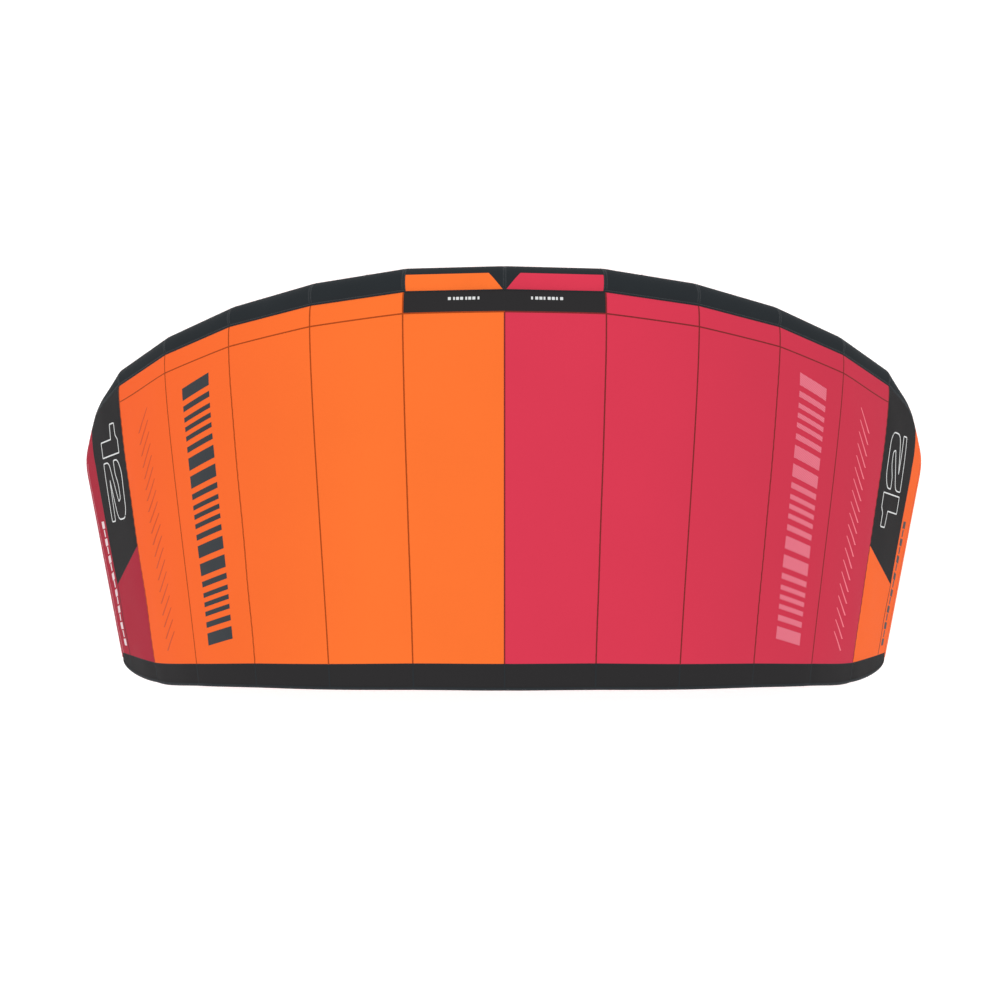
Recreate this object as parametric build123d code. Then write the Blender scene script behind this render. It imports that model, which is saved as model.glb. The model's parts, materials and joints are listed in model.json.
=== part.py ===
from build123d import *
from math import cos, radians, sin
import os

# A leading-edge-inflatable kitesurf kite of 12 square metres, inflated and standing as an arch on its
# two wing tips. Millimetres. X runs along the span, +Y towards the leading edge, +Z up. The origin is
# on the ground, under the middle of the kite.

os.makedirs("parts", exist_ok=True)

# --- Driving dimensions ---------------------------------------------------------------------------

# The canopy's outer surface at its front seam, from the middle outwards to the last full rib
PANEL_WIDTH = 516.0
PANEL_SLOPES = (6.0, 18.0, 27.0, 38.0, 48.5)  # each panel's fall below the horizontal, degrees
CROWN_HEIGHT = 1756.4  # the front seam above the ground, in the middle
FRONT_SEAM_Y = 990.4
FRONT_SWEEP = (0.0, 4.0, 54.0, 139.0, 260.0, 403.0)  # how far each rib's front end lies back
TAIL_Y = -1037.6
TAIL_SWEEP = (0.0, 3.0, 20.0, 36.0, 63.0, 87.0)
TAIL_TAPER = 0.907  # the trailing edge's half width over the leading edge's, at each rib
TAIL_SINK = 60.0  # the trailing edge below the front seam
RIB_LEANS = (0.0, 12.0, 22.5, 32.5, 43.0, 54.0)  # each rib's outward lean, degrees
TIP_LEAN = 60.0

# Where the canopy meets the wing tip's tube: bend, colour change, heel and tail, (x, y, z)
TIP_EDGE = ((2406.0, 463.4, 343.4), (2463.0, 358.0, 240.4), (2538.0, 157.4, 95.4), (2318.0, -1028.6, 59.4))

# The profile of a rib, as shares of its length from the front seam to the trailing edge
CAMBERS = (46.0, 42.0, 34.0, 28.0, 24.0, 22.0)  # the height of each rib's profile
CAMBER_RISE = 0.5
CAMBER_FALL = 1.7
STATIONS = (0.0, 0.055, 0.12, 0.20, 0.32, 0.43, 0.535, 0.74, 0.935, 1.0)
FRONT_BAND_END = 1  # station numbers at which one piece of the canopy is sewn to the next
TIP_STRIP_START = 3
TIP_COLOUR_SEAM = 6
TAIL_BAND_START = 8
TIP_EDGE_SHARES = (0.30, 0.61, 0.80, 0.975, 1.0)  # heel-to-tail places of the last five stations
TIP_STRIP_SHARE = 0.26  # strip's width over the tip panel's
TIP_TAIL_BULGE = 45.0
CLOTH = 2.0

# Inflated tubes
TUBE_RADII = (100.0, 99.0, 96.0, 90.0, 82.0, 74.0, 64.0, 57.0, 52.0, 32.0)
SEAM_ANGLES = (20.0, 20.0, 20.0, 20.0, 24.0, 30.0)  # front seam's place on the tube, behind its top, degrees
TIP_SEAM_LEANS = (54.0, 56.0, 45.0, 38.0)  # outward lean of the same seam on the wing tip's tube
CASING = 1.5
BLADDER_GAP = 0.5
BLADDER = 0.5
SEWING_GAP = 0.6
TUBE_END = 3.0

STRUT_RIBS = {0: "centre", 2: "inner", 4: "outer"}
STRUT_STATIONS = STATIONS[:-1]
STRUT_RADII = {0: (62.0, 34.0), 2: (57.0, 32.0), 4: (50.0, 28.0)}  # front and tail
STRUT_BLADDER_GAP = 12.0  # the bladder's front end behind the leading edge

# Inflation hoses from the leading edge to each strut, their nipples and pinch clips
HOSE_RADIUS = 6.0
HOSE_BORE = 4.4
NIPPLE_ANGLE = 122.0  # around the tube from its seam towards the tail
NIPPLE_HEIGHT = 18.0
NIPPLE_FLANGE_RADIUS = 13.0
NIPPLE_FLANGE = 2.5
NIPPLE_RADIUS = 5.5
HOSE_LEAD = 48.0
HOSE_LEVEL = 80.0
HOSE_STEP_BACK = 39.0
HOSE_RISE_SHARE = 0.5  # how much of its way up to the strut the hose's last, straight run takes
CLIP_LENGTH = 20.0
CLIP_WIDTH = 18.0
CLIP_BASE = 8.5
CLIP_HINGE_X = -7.0
CLIP_HINGE_Z = 12.0
CLIP_SLOT = 8.0
PIN_RADIUS = 1.5
PIN_CLEARANCE = 0.05
BARREL_RADIUS = 3.0

# Inflation and dump valves, on the innermost piece of the leading edge, left and right
VALVE_SHARE = 0.5
VALVE_ANGLE = 108.0
VALVE_RADIUS = 19.0
VALVE_BORE = 12.0
VALVE_HEIGHT = 16.0
VALVE_DEPTH = 2.0
VALVE_FLANGE_RADIUS = 34.0
VALVE_FLANGE = 1.8
CAP_RADIUS = 21.0
CAP_THICKNESS = 5.0
CAP_PLUG = 3.0
CAP_GAP = 0.3
VALVE_HINGE_X = 26.5
VALVE_HINGE_Z = 17.0
SHELF_BORE = 9.0
SHELF_Z = (4.0, 6.0)
FLAP_RADIUS = 11.0
FLAP_THICKNESS = 2.0
STEM_RADIUS = 2.0
STEM_TOP = 12.5
STEM_HEAD_RADIUS = 4.0

# Webbing tabs that the bridle and the rear lines tie to
TAB_WIDTH = 26.0
TAB_LENGTH = 30.0
TAB_THICKNESS = 3.0
TAB_EYE_RADIUS = 5.0
BRIDLE_TAB_ANGLE = 215.0
BRIDLE_TAB_SEGMENTS = (1, 2, 3, 4)
REAR_TAB_ANGLE = 130.0
REAR_TAB_SHARE = 0.93

RIBS = len(RIB_LEANS)
HEEL = RIBS + 2
TAIL = RIBS + 3


def blend(a, b, share):
    return a + (b - a) * share


def leaning(degrees):
    """The direction that leans outwards from straight up, on the right side."""
    return Vector(sin(radians(degrees)), 0, cos(radians(degrees)))


# --- The canopy's grid ----------------------------------------------------------------------------


def front_seam_points():
    """The front seam at each rib, then along the wing tip's tube."""
    x, z = 0.0, CROWN_HEIGHT
    points = [Vector(x, FRONT_SEAM_Y, z)]
    for slope, sweep in zip(PANEL_SLOPES, FRONT_SWEEP[1:]):
        x += PANEL_WIDTH * cos(radians(slope))
        z -= PANEL_WIDTH * sin(radians(slope))
        points.append(Vector(x, FRONT_SEAM_Y - sweep, z))
    return points + [Vector(*p) for p in TIP_EDGE]


SEAM = front_seam_points()


def tail_point(rib):
    front = SEAM[rib]
    return Vector(front.X * TAIL_TAPER, TAIL_Y - TAIL_SWEEP[rib], front.Z - TAIL_SINK)


def camber(rib, share):
    """Height of a rib's profile above its straight line, 0 at both ends."""
    peak = CAMBER_RISE / (CAMBER_RISE + CAMBER_FALL)
    shape = share**CAMBER_RISE * (1 - share) ** CAMBER_FALL
    return CAMBERS[rib] * shape / (peak**CAMBER_RISE * (1 - peak) ** CAMBER_FALL)


def rib_point(rib, share):
    """A point of the canopy's outer surface on a rib."""
    return blend(SEAM[rib], tail_point(rib), share) + leaning(RIB_LEANS[rib]) * camber(rib, share)


def with_underside(point, lean):
    """A point of the outer surface and the one below it on the inner surface."""
    return point, point - leaning(lean) * CLOTH


def rib_column(rib):
    return [with_underside(rib_point(rib, share), RIB_LEANS[rib]) for share in STATIONS]


def tip_edge_points():
    """The canopy's edge on the wing tip's tube, at each station."""
    last_rib, bend, change, heel, tail = SEAM[RIBS - 1 :]
    points = [last_rib, blend(last_rib, bend, 0.5), bend, change, heel]
    return points + [blend(heel, tail, share) for share in TIP_EDGE_SHARES]


def tip_columns():
    """The inner edge of the wing tip's strip and the canopy's edge on the tube."""
    ribs = [rib_point(RIBS - 1, share) for share in STATIONS]
    edge = tip_edge_points()
    inner = []
    for j, (on_rib, on_tube) in enumerate(zip(ribs, edge)):
        share = TIP_STRIP_SHARE if j > TIP_STRIP_START else 0.0
        inner.append(blend(on_tube, on_rib, share))
    inner[-1] -= Vector(0, TIP_TAIL_BULGE, 0)
    first = with_underside(ribs[0], RIB_LEANS[-1])
    columns = [[with_underside(p, TIP_LEAN) for p in points] for points in (inner, edge)]
    for column in columns:
        column[0] = first
    return columns


COLUMNS = [rib_column(rib) for rib in range(RIBS)] + tip_columns()
TIP_INNER = RIBS
TIP_OUTER = RIBS + 1


def key(point):
    return round(point.X, 4), round(point.Y, 4), round(point.Z, 4)


def triangle(a, b, c):
    return Face(Wire.make_polygon([a, b, c], close=True))


def patch_triangles(columns):
    """The outer surface between columns of grid points, as triangles that have an area."""
    found = []
    for inboard, outboard in zip(columns, columns[1:]):
        for j in range(len(inboard) - 1):
            a, b, c, d = inboard[j], outboard[j], outboard[j + 1], inboard[j + 1]
            found += [(a, b, c), (a, c, d)]
    return [t for t in found if len({key(top) for top, _ in t}) == 3]


def cloth(columns):
    """A closed sheet of cloth, CLOTH thick, over a patch of grid points."""
    outer = patch_triangles(columns)
    faces = []
    edges = {}
    for corners in outer:
        faces.append(triangle(*(top for top, _ in corners)))
        faces.append(triangle(*(under for _, under in corners)))
        for p, q in zip(corners, corners[1:] + corners[:1]):
            pair = tuple(sorted((p, q), key=lambda corner: key(corner[0])))
            edges.setdefault((key(pair[0][0]), key(pair[1][0])), []).append(pair)
    for pairs in edges.values():
        if len(pairs) == 1:
            p, q = pairs[0]
            faces += [triangle(p[0], q[0], q[1]), triangle(p[0], q[1], p[1])]
    return Solid(Shell(faces)).fix()


def cut_columns(first, last, start, end):
    """The grid from column first to last, and from station start to end."""
    return [column[start : end + 1] for column in COLUMNS[first : last + 1]]


def right_canopy():
    """Every piece of the right half of the canopy, by name."""
    pieces = {}
    for i in range(RIBS - 1):
        pieces[f"canopy_panel_{i + 1}"] = [cloth(cut_columns(i, i + 1, FRONT_BAND_END, TAIL_BAND_START))]
    pieces["front_band_centre"] = [cloth(cut_columns(0, 1, 0, FRONT_BAND_END))]
    outer_bands = [cut_columns(i, i + 1, 0, FRONT_BAND_END) for i in range(1, RIBS - 1)]
    pieces["front_band_outer"] = [cloth(columns) for columns in outer_bands]
    pieces["tip_panel_front"] = [cloth(cut_columns(RIBS - 1, TIP_INNER, 0, TIP_COLOUR_SEAM))]
    pieces["tip_panel_rear"] = [cloth(cut_columns(RIBS - 1, TIP_INNER, TIP_COLOUR_SEAM, TAIL_BAND_START))]
    pieces["tip_strip"] = [cloth(cut_columns(TIP_INNER, TIP_OUTER, TIP_STRIP_START, TAIL_BAND_START))]
    bands = [cut_columns(i, i + 1, TAIL_BAND_START, len(STATIONS) - 1) for i in range(TIP_OUTER)]
    pieces["trailing_band"] = [cloth(columns) for columns in bands]
    return pieces


# --- Tubes ----------------------------------------------------------------------------------------


def tube_directions():
    """The tube's direction at each section, halfway between the pieces that meet there."""
    steps = [(b - a).normalized() for a, b in zip(SEAM, SEAM[1:])]
    directions = [Vector(1, 0, 0)]
    for before, after in zip(steps, steps[1:]):
        directions.append((before + after).normalized())
    return directions + [steps[-1]]


def tube_frames():
    """A plane across the tube at each section: X towards the seam, Y towards the tail."""
    leans = list(RIB_LEANS) + list(TIP_SEAM_LEANS)
    angles = list(SEAM_ANGLES) + [0.0] * len(TIP_SEAM_LEANS)
    frames = []
    for seam, along, lean, angle, radius in zip(SEAM, tube_directions(), leans, angles, TUBE_RADII):
        up = leaning(lean)
        up = (up - along * up.dot(along)).normalized()
        back = along.cross(up)
        towards_seam = up * cos(radians(angle)) + back * sin(radians(angle))
        centre = seam - towards_seam * (radius + CLOTH + SEWING_GAP)
        frames.append(Plane(origin=centre, x_dir=towards_seam, z_dir=along))
    return frames


FRAMES = tube_frames()


def loft_through(frames, radii):
    """A solid through circles, straight from each to the next."""
    circles = [Wire.make_circle(radius, frame) for frame, radius in zip(frames, radii)]
    return Solid.make_loft(circles, ruled=True)


def mirrored_frame(frame):
    """The same section on the left side, with the tube's direction kept from left to right."""
    origin, x_dir, z_dir = frame.origin, frame.x_dir, frame.z_dir
    return Plane(
        origin=Vector(-origin.X, origin.Y, origin.Z),
        x_dir=Vector(-x_dir.X, x_dir.Y, x_dir.Z),
        z_dir=Vector(z_dir.X, -z_dir.Y, -z_dir.Z),
    )


def edge_segment(first, extra):
    """The tube from one section to the next, its radius changed by extra."""
    radii = [radius + extra for radius in TUBE_RADII[first : first + 2]]
    return loft_through(FRAMES[first : first + 2], radii)


def stopped_short(frames, radii, length):
    """Frames and radii with the last section moved back along the tube."""
    full = (frames[-1].origin - frames[-2].origin).length
    share = 1 - length / full
    origin = blend(frames[-2].origin, frames[-1].origin, share)
    last = Plane(origin=origin, x_dir=frames[-1].x_dir, z_dir=frames[-1].z_dir)
    return frames[:-1] + [last], radii[:-1] + [blend(radii[-2], radii[-1], share)]


def casing_segment(first):
    return edge_segment(first, 0) - edge_segment(first, -CASING)


def tail_casing():
    """The last piece of the wing tip's tube, closed at its tail."""
    frames, radii = FRAMES[HEEL:], list(TUBE_RADII[HEEL:])
    inner_frames, inner_radii = stopped_short(frames, [r - CASING for r in radii], TUBE_END)
    return loft_through(frames, radii) - loft_through(inner_frames, inner_radii)


def edge_bladder():
    """The leading edge's bladder, in one piece from tip to tip, with both valves' holes."""
    right_radii = [radius - CASING - BLADDER_GAP for radius in TUBE_RADII]
    skins = []
    for extra, end in ((0.0, 2 * TUBE_END), (-BLADDER, 2 * TUBE_END + BLADDER)):
        frames, radii = stopped_short(FRAMES, [r + extra for r in right_radii], end)
        left = [mirrored_frame(frame) for frame in frames[:0:-1]]
        skins.append(loft_through(left + frames, radii[:0:-1] + radii))
    body = skins[0] - skins[1]
    for plane in VALVE_PLANES.values():
        body -= plane * Pos(0, 0, -VALVE_BORE) * Cylinder(VALVE_BORE + 0.5, 2 * VALVE_BORE)
    return body


def strut_frames(rib, stations, front_radius, tail_radius):
    """Planes across a strut that lies against the canopy's underside, and its radii there."""
    up = leaning(RIB_LEANS[rib])
    radii = [blend(front_radius, tail_radius, share) for share in stations]
    points = [rib_point(rib, share) for share in stations]
    steps = [(b - a).normalized() for a, b in zip(points, points[1:])]
    frames = []
    for point, radius, before, after in zip(points, radii, steps[:1] + steps, steps + steps[-1:]):
        way = (before + after).normalized()
        x_dir = (up - way * up.dot(way)).normalized()
        depth = (radius + CLOTH + SEWING_GAP) / way.dot(after)
        frames.append(Plane(origin=point - x_dir * depth, x_dir=x_dir, z_dir=way))
    return frames, radii


def largest(shape):
    return max(shape.solids(), key=lambda solid: solid.volume)


def edge_envelope(rib, extra):
    """The leading edge on both sides of a rib, grown by extra."""
    outboard = edge_segment(rib, extra)
    if rib == 0:
        return outboard + outboard.mirror(Plane.YZ)
    return outboard + edge_segment(rib - 1, extra)


def strut_solid(rib, shrink, short=0.0):
    """A strut's tube along its whole centre line, its radius less by shrink and its tail cut short."""
    frames, radii = strut_frames(rib, STRUT_STATIONS, *STRUT_RADII[rib])
    radii = [radius - shrink for radius in radii]
    if short:
        frames, radii = stopped_short(frames, radii, short)
    return loft_through(frames, radii)


def strut_casing(rib):
    hollow = strut_solid(rib, 0.0) - strut_solid(rib, CASING, TUBE_END)
    return largest(hollow - edge_envelope(rib, SEWING_GAP))


def strut_bladder(rib):
    """A closed bladder, whose front end follows the leading edge's back."""
    shrink = CASING + BLADDER_GAP
    front = STRUT_BLADDER_GAP
    outer = largest(strut_solid(rib, shrink, 2 * TUBE_END) - edge_envelope(rib, front))
    inner = strut_solid(rib, shrink + BLADDER, 2 * TUBE_END + BLADDER)
    return largest(outer - (inner - edge_envelope(rib, front + BLADDER)))


# --- Places around the tubes ----------------------------------------------------------------------


def on_tube(frame, radius, angle):
    """A plane standing on a tube: X along the tube, Z straight out of it at an angle from the seam."""
    out = frame.x_dir * cos(radians(angle)) + frame.y_dir * sin(radians(angle))
    return Plane(origin=frame.origin + out * radius, x_dir=frame.z_dir, z_dir=out)


def between_sections(first, share):
    """A section between two of the tube's, and its radius."""
    a, b = FRAMES[first : first + 2]
    along = (b.origin - a.origin).normalized()
    x_dir = blend(a.x_dir, b.x_dir, share)
    x_dir = (x_dir - along * x_dir.dot(along)).normalized()
    origin = blend(a.origin, b.origin, share)
    return Plane(origin=origin, x_dir=x_dir, z_dir=along), blend(*TUBE_RADII[first : first + 2], share)


def valve_plane():
    frame, radius = between_sections(0, VALVE_SHARE)
    return on_tube(frame, radius, VALVE_ANGLE)


def mirrored_valve_plane(plane):
    """The left valve's plane, with its hinge on the side away from the middle."""
    return Plane(
        origin=Vector(-plane.origin.X, plane.origin.Y, plane.origin.Z),
        x_dir=Vector(-plane.x_dir.X, plane.x_dir.Y, plane.x_dir.Z),
        z_dir=Vector(-plane.z_dir.X, plane.z_dir.Y, plane.z_dir.Z),
    )


VALVE_PLANES = {"dump": valve_plane(), "inflate": mirrored_valve_plane(valve_plane())}


# --- Valves ---------------------------------------------------------------------------------------


def box_between(low, high):
    size = [b - a for a, b in zip(low, high)]
    middle = [(a + b) / 2 for a, b in zip(low, high)]
    return Pos(*middle) * Box(*size)


def cylinder_between(radius, low, high):
    return Pos(0, 0, (low + high) / 2) * Cylinder(radius, high - low)


def across(radius, length, x, z):
    """A cylinder along Y, centred."""
    return Pos(x, 0, z) * Rot(90, 0, 0) * Cylinder(radius, length)


def flap_shelf():
    """The seat that the check flap closes against, with a bar that guides its stem."""
    low, high = SHELF_Z
    ring = cylinder_between(VALVE_BORE + 0.5, low, high) - cylinder_between(SHELF_BORE, low - 1, high + 1)
    bar = box_between((-SHELF_BORE - 1, -3, low), (SHELF_BORE + 1, 3, high))
    return ring + bar - cylinder_between(STEM_RADIUS + PIN_CLEARANCE, low - 1, high + 1)


def valve_body(plane, with_shelf):
    """The valve's collar and hinge ears in its own axes, then its flange on the tube."""
    collar = cylinder_between(VALVE_RADIUS, -VALVE_DEPTH, VALVE_HEIGHT)
    bore = cylinder_between(VALVE_BORE, -VALVE_DEPTH - 1, VALVE_HEIGHT + 1)
    ear_low, ear_high = 3.9, 7.2
    for side in (1, -1):
        y = sorted((side * ear_low, side * ear_high))
        collar += box_between((14, y[0], 9), (30, y[1], VALVE_HEIGHT - 0.2))
        collar += box_between((23, y[0], VALVE_HEIGHT - 0.2), (30, y[1], 20.5))
    collar -= bore
    collar -= across(PIN_RADIUS + PIN_CLEARANCE, 4 * ear_high, VALVE_HINGE_X, VALVE_HINGE_Z)
    if with_shelf:
        collar += flap_shelf()
    disc = plane * cylinder_between(VALVE_FLANGE_RADIUS, -VALVE_FLANGE_RADIUS, VALVE_FLANGE_RADIUS)
    disc -= plane * cylinder_between(VALVE_RADIUS - 1, -50, 50)
    shell = edge_segment(0, 0.3 + VALVE_FLANGE) - edge_segment(0, 0.3)
    if plane.origin.X < 0:
        shell = shell.mirror(Plane.YZ)
    return largest((disc & shell) + plane * collar)


def valve_cap(plane):
    low = VALVE_HEIGHT + CAP_GAP
    cap = cylinder_between(CAP_RADIUS, low, low + CAP_THICKNESS)
    cap = fillet(cap.edges().group_by(Axis.Z)[-1], 1.5)
    cap += cylinder_between(VALVE_BORE - 0.4, low - CAP_PLUG, low)
    cap += box_between((18, -3.5, low), (VALVE_HINGE_X, 3.5, low + 3.5))
    cap += across(BARREL_RADIUS, 7.0, VALVE_HINGE_X, VALVE_HINGE_Z)
    cap -= across(PIN_RADIUS + PIN_CLEARANCE, 10, VALVE_HINGE_X, VALVE_HINGE_Z)
    return plane * cap


def valve_pin(plane):
    return plane * across(PIN_RADIUS, 14.4, VALVE_HINGE_X, VALVE_HINGE_Z)


def check_flap(plane):
    seat = SHELF_Z[0] - CAP_GAP
    flap = cylinder_between(FLAP_RADIUS, seat - FLAP_THICKNESS, seat)
    flap += cylinder_between(STEM_RADIUS, seat - 1, STEM_TOP)
    flap += cylinder_between(STEM_HEAD_RADIUS, STEM_TOP - 1.5, STEM_TOP)
    return plane * flap


def holed_centre_casing(plane):
    """The innermost piece of the leading edge's casing, with the hole that its valve stands in."""
    casing = casing_segment(0)
    if plane.origin.X < 0:
        casing = casing.mirror(Plane.YZ)
    return casing - plane * cylinder_between(VALVE_RADIUS + 0.8, -20, 20)


# --- Hoses and clips ------------------------------------------------------------------------------


class HoseRun:
    """The inflation hose of one strut, in the plane of its rib, behind and below the leading edge."""

    def __init__(self, rib):
        self.edge = on_tube(FRAMES[rib], TUBE_RADII[rib], NIPPLE_ANGLE)
        out = self.edge.z_dir
        up = leaning(RIB_LEANS[rib])
        self.back = (tail_point(rib) - SEAM[rib]).normalized()
        self.back = (self.back - up * self.back.dot(up)).normalized()
        self.side = up.cross(self.back)
        start = self.edge.origin + out * NIPPLE_HEIGHT
        lead = start + out * HOSE_LEAD
        level = lead + self.back * HOSE_LEVEL
        above = level + self.back * HOSE_STEP_BACK
        self.strut = self.strut_plane(rib, above, up)
        end = self.strut.origin + self.strut.z_dir * NIPPLE_HEIGHT
        rise = (end - above).dot(up) * HOSE_RISE_SHARE
        self.points = [start, lead, level, end - up * rise, end]

    def strut_plane(self, rib, point, up):
        """The place on the strut's underside that is right above a point."""
        front, tail = SEAM[rib], tail_point(rib)
        share = (point - front).dot(self.back) / (tail - front).length
        frames, radii = strut_frames(rib, (share, share + 0.01), *STRUT_RADII[rib])
        return Plane(origin=frames[0].origin - up * radii[0], x_dir=self.back, z_dir=-up)

    def path(self):
        points = self.points
        radii = []
        for a, b, c in zip(points, points[1:], points[2:]):
            turn = (b - a).get_angle(c - b)
            shorter = min((b - a).length, (c - b).length)
            radii.append(0.45 * shorter / (sin(radians(turn / 2)) / cos(radians(turn / 2))))
        print("hose arcs", [round(r) for r in radii])
        return FilletPolyline(*points, radius=radii)

    def hose(self):
        path = self.path()
        start = Plane(origin=path @ 0, z_dir=path % 0)
        ring = start * (Circle(HOSE_RADIUS) - Circle(HOSE_BORE))
        return sweep(ring, path=path)

    def clip_plane(self):
        """The clip's axes: X along the hose, Z away from the canopy."""
        lead, level = self.points[1:3]
        along = (level - lead).normalized()
        return Plane(origin=blend(lead, level, 0.40), x_dir=along, z_dir=along.cross(self.side))


def nipple(plane, envelope):
    """A flanged stub that stands on a tube, fitted to its surface."""
    stub = cylinder_between(NIPPLE_FLANGE_RADIUS, -4, NIPPLE_FLANGE)
    stub += cylinder_between(NIPPLE_RADIUS, 0, NIPPLE_HEIGHT)
    stub -= cylinder_between(HOSE_BORE - 1, -5, NIPPLE_HEIGHT + 1)
    return largest(plane * stub - envelope)


def clip_frame(plane):
    """The block that the hose runs through, with two ears for the lever's pin."""
    half = CLIP_LENGTH / 2
    frame = box_between((-half, -CLIP_WIDTH / 2, -9), (half, CLIP_WIDTH / 2, CLIP_BASE))
    for side in (1, -1):
        y = sorted((side * CLIP_SLOT / 2, side * (CLIP_SLOT / 2 + 3)))
        frame += box_between((-half, y[0], CLIP_BASE), (CLIP_HINGE_X + 3.5, y[1], CLIP_HINGE_Z + 3.5))
    frame -= Rot(0, 90, 0) * Cylinder(HOSE_RADIUS + 0.2, 2 * CLIP_LENGTH)
    frame -= box_between((-2, -CLIP_SLOT / 2, 0), (9, CLIP_SLOT / 2, CLIP_BASE + 1))
    frame -= across(PIN_RADIUS + PIN_CLEARANCE, 2 * CLIP_WIDTH, CLIP_HINGE_X, CLIP_HINGE_Z)
    return plane * frame


def clip_lever(plane):
    """The lever, shut: its nub lies just above the hose."""
    lever = box_between((CLIP_HINGE_X, -3.6, 9.2), (16, 3.6, 12.2))
    lever += box_between((0, -3, HOSE_RADIUS + 0.5), (6, 3, 9.5))
    lever += box_between((14, -3.6, 9.2), (17, 3.6, 14.5))
    lever -= across(BARREL_RADIUS + 0.01, 20, CLIP_HINGE_X, CLIP_HINGE_Z)
    lever += across(BARREL_RADIUS, 7.2, CLIP_HINGE_X, CLIP_HINGE_Z)
    lever += box_between((CLIP_HINGE_X + 2, -3.6, 10), (0, 3.6, 12.2))
    lever -= across(PIN_RADIUS + PIN_CLEARANCE, 20, CLIP_HINGE_X, CLIP_HINGE_Z)
    return plane * lever


def clip_pin(plane):
    return plane * across(PIN_RADIUS, CLIP_SLOT + 6, CLIP_HINGE_X, CLIP_HINGE_Z)


# --- Line tabs ------------------------------------------------------------------------------------


def tab(plane, envelope):
    """A webbing tab with an eye, standing on a tube, in the plane of the tube's axis."""
    profile = Rectangle(TAB_WIDTH, TAB_LENGTH + 6) + Pos(0, TAB_LENGTH / 2 + 3) * Circle(TAB_WIDTH / 2)
    blade = Pos(0, 0, TAB_LENGTH / 2 - 3) * Rot(90, 0, 0) * extrude(profile, TAB_THICKNESS / 2, both=True)
    eye = across(TAB_EYE_RADIUS, 2 * TAB_THICKNESS, 0, TAB_LENGTH)
    return largest(plane * (blade - eye) - envelope)


def tab_planes():
    """Where the right side's tabs stand: name, section, angle and the tube's segment."""
    places = {}
    for number, segment in enumerate(BRIDLE_TAB_SEGMENTS, 1):
        frame, radius = between_sections(segment, 0.5)
        places[f"bridle_tab_{number}"] = on_tube(frame, radius, BRIDLE_TAB_ANGLE), segment
    frame, radius = between_sections(HEEL, REAR_TAB_SHARE)
    places["rear_line_tab"] = on_tube(frame, radius, REAR_TAB_ANGLE), HEEL
    return places


# --- The whole kite -------------------------------------------------------------------------------


def mirrored(solids):
    return [solid.mirror(Plane.YZ) for solid in solids]


def both_sides(nodes, name, solids):
    """Adds a right-hand node and its mirror image."""
    nodes[f"{name}_right"] = solids
    nodes[f"{name}_left"] = mirrored(solids)


def solids_of(shape):
    return list(shape.solids())


def add_leading_edge(nodes):
    for plane, side in ((VALVE_PLANES["dump"], "right"), (VALVE_PLANES["inflate"], "left")):
        nodes[f"leading_edge_1_{side}"] = solids_of(holed_centre_casing(plane))
    for first in range(1, RIBS - 1):
        both_sides(nodes, f"leading_edge_{first + 1}", solids_of(casing_segment(first)))
    bend = solids_of(casing_segment(RIBS - 1)) + solids_of(casing_segment(RIBS))
    both_sides(nodes, "tip_bend", bend)
    both_sides(nodes, "tip_tube", solids_of(casing_segment(RIBS + 1)) + solids_of(tail_casing()))
    nodes["leading_edge_bladder"] = solids_of(edge_bladder())


def add_struts(nodes):
    """Struts with their bladders, hoses, nipples and clips; the side ones come in pairs."""
    groups = {name: [] for name in ("strut_bladders", "pump_hoses", "hose_nipples", "clip_frames", "hinge_pins")}
    for rib, name in STRUT_RIBS.items():
        run = HoseRun(rib)
        clip = run.clip_plane()
        strut_skin = strut_solid(rib, 0.0)
        made = {
            "strut_bladders": [strut_bladder(rib)],
            "pump_hoses": solids_of(run.hose()),
            "hose_nipples": [nipple(run.edge, edge_envelope(rib, 0.3)), nipple(run.strut, strut_skin)],
            "clip_frames": solids_of(clip_frame(clip)),
            "hinge_pins": solids_of(clip_pin(clip)),
        }
        casing, lever = [strut_casing(rib)], solids_of(clip_lever(clip))
        for group, solids in made.items():
            groups[group] += solids if rib == 0 else solids + mirrored(solids)
        if rib == 0:
            nodes["strut_centre"] = casing
            nodes["clip_lever_centre"] = lever
        else:
            both_sides(nodes, f"strut_{name}", casing)
            both_sides(nodes, f"clip_lever_{name}", lever)
    nodes.update(groups)


def add_valves(nodes):
    for name, plane in VALVE_PLANES.items():
        nodes[f"{name}_valve_body"] = [valve_body(plane, name == "inflate")]
        nodes[f"{name}_valve_cap"] = solids_of(valve_cap(plane))
        nodes["hinge_pins"] += solids_of(valve_pin(plane))
    nodes["inflate_valve_flap"] = solids_of(check_flap(VALVE_PLANES["inflate"]))


def add_tabs(nodes):
    tabs = []
    for plane, segment in tab_planes().values():
        tabs.append(tab(plane, edge_segment(segment, 0.3)))
    nodes["line_tabs"] = tabs + mirrored(tabs)


def build():
    nodes = {}
    for name, solids in right_canopy().items():
        both_sides(nodes, name, solids)
    add_leading_edge(nodes)
    add_struts(nodes)
    add_valves(nodes)
    add_tabs(nodes)
    return nodes


NODES = build()
for node, solids in NODES.items():
    shape = solids[0] if len(solids) == 1 else Compound(children=solids)
    export_step(shape, f"parts/{node}.step")
print(len(NODES), "nodes")
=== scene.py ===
import json
from functools import lru_cache
from math import cos, exp, pi, radians, sin, tau

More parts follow.
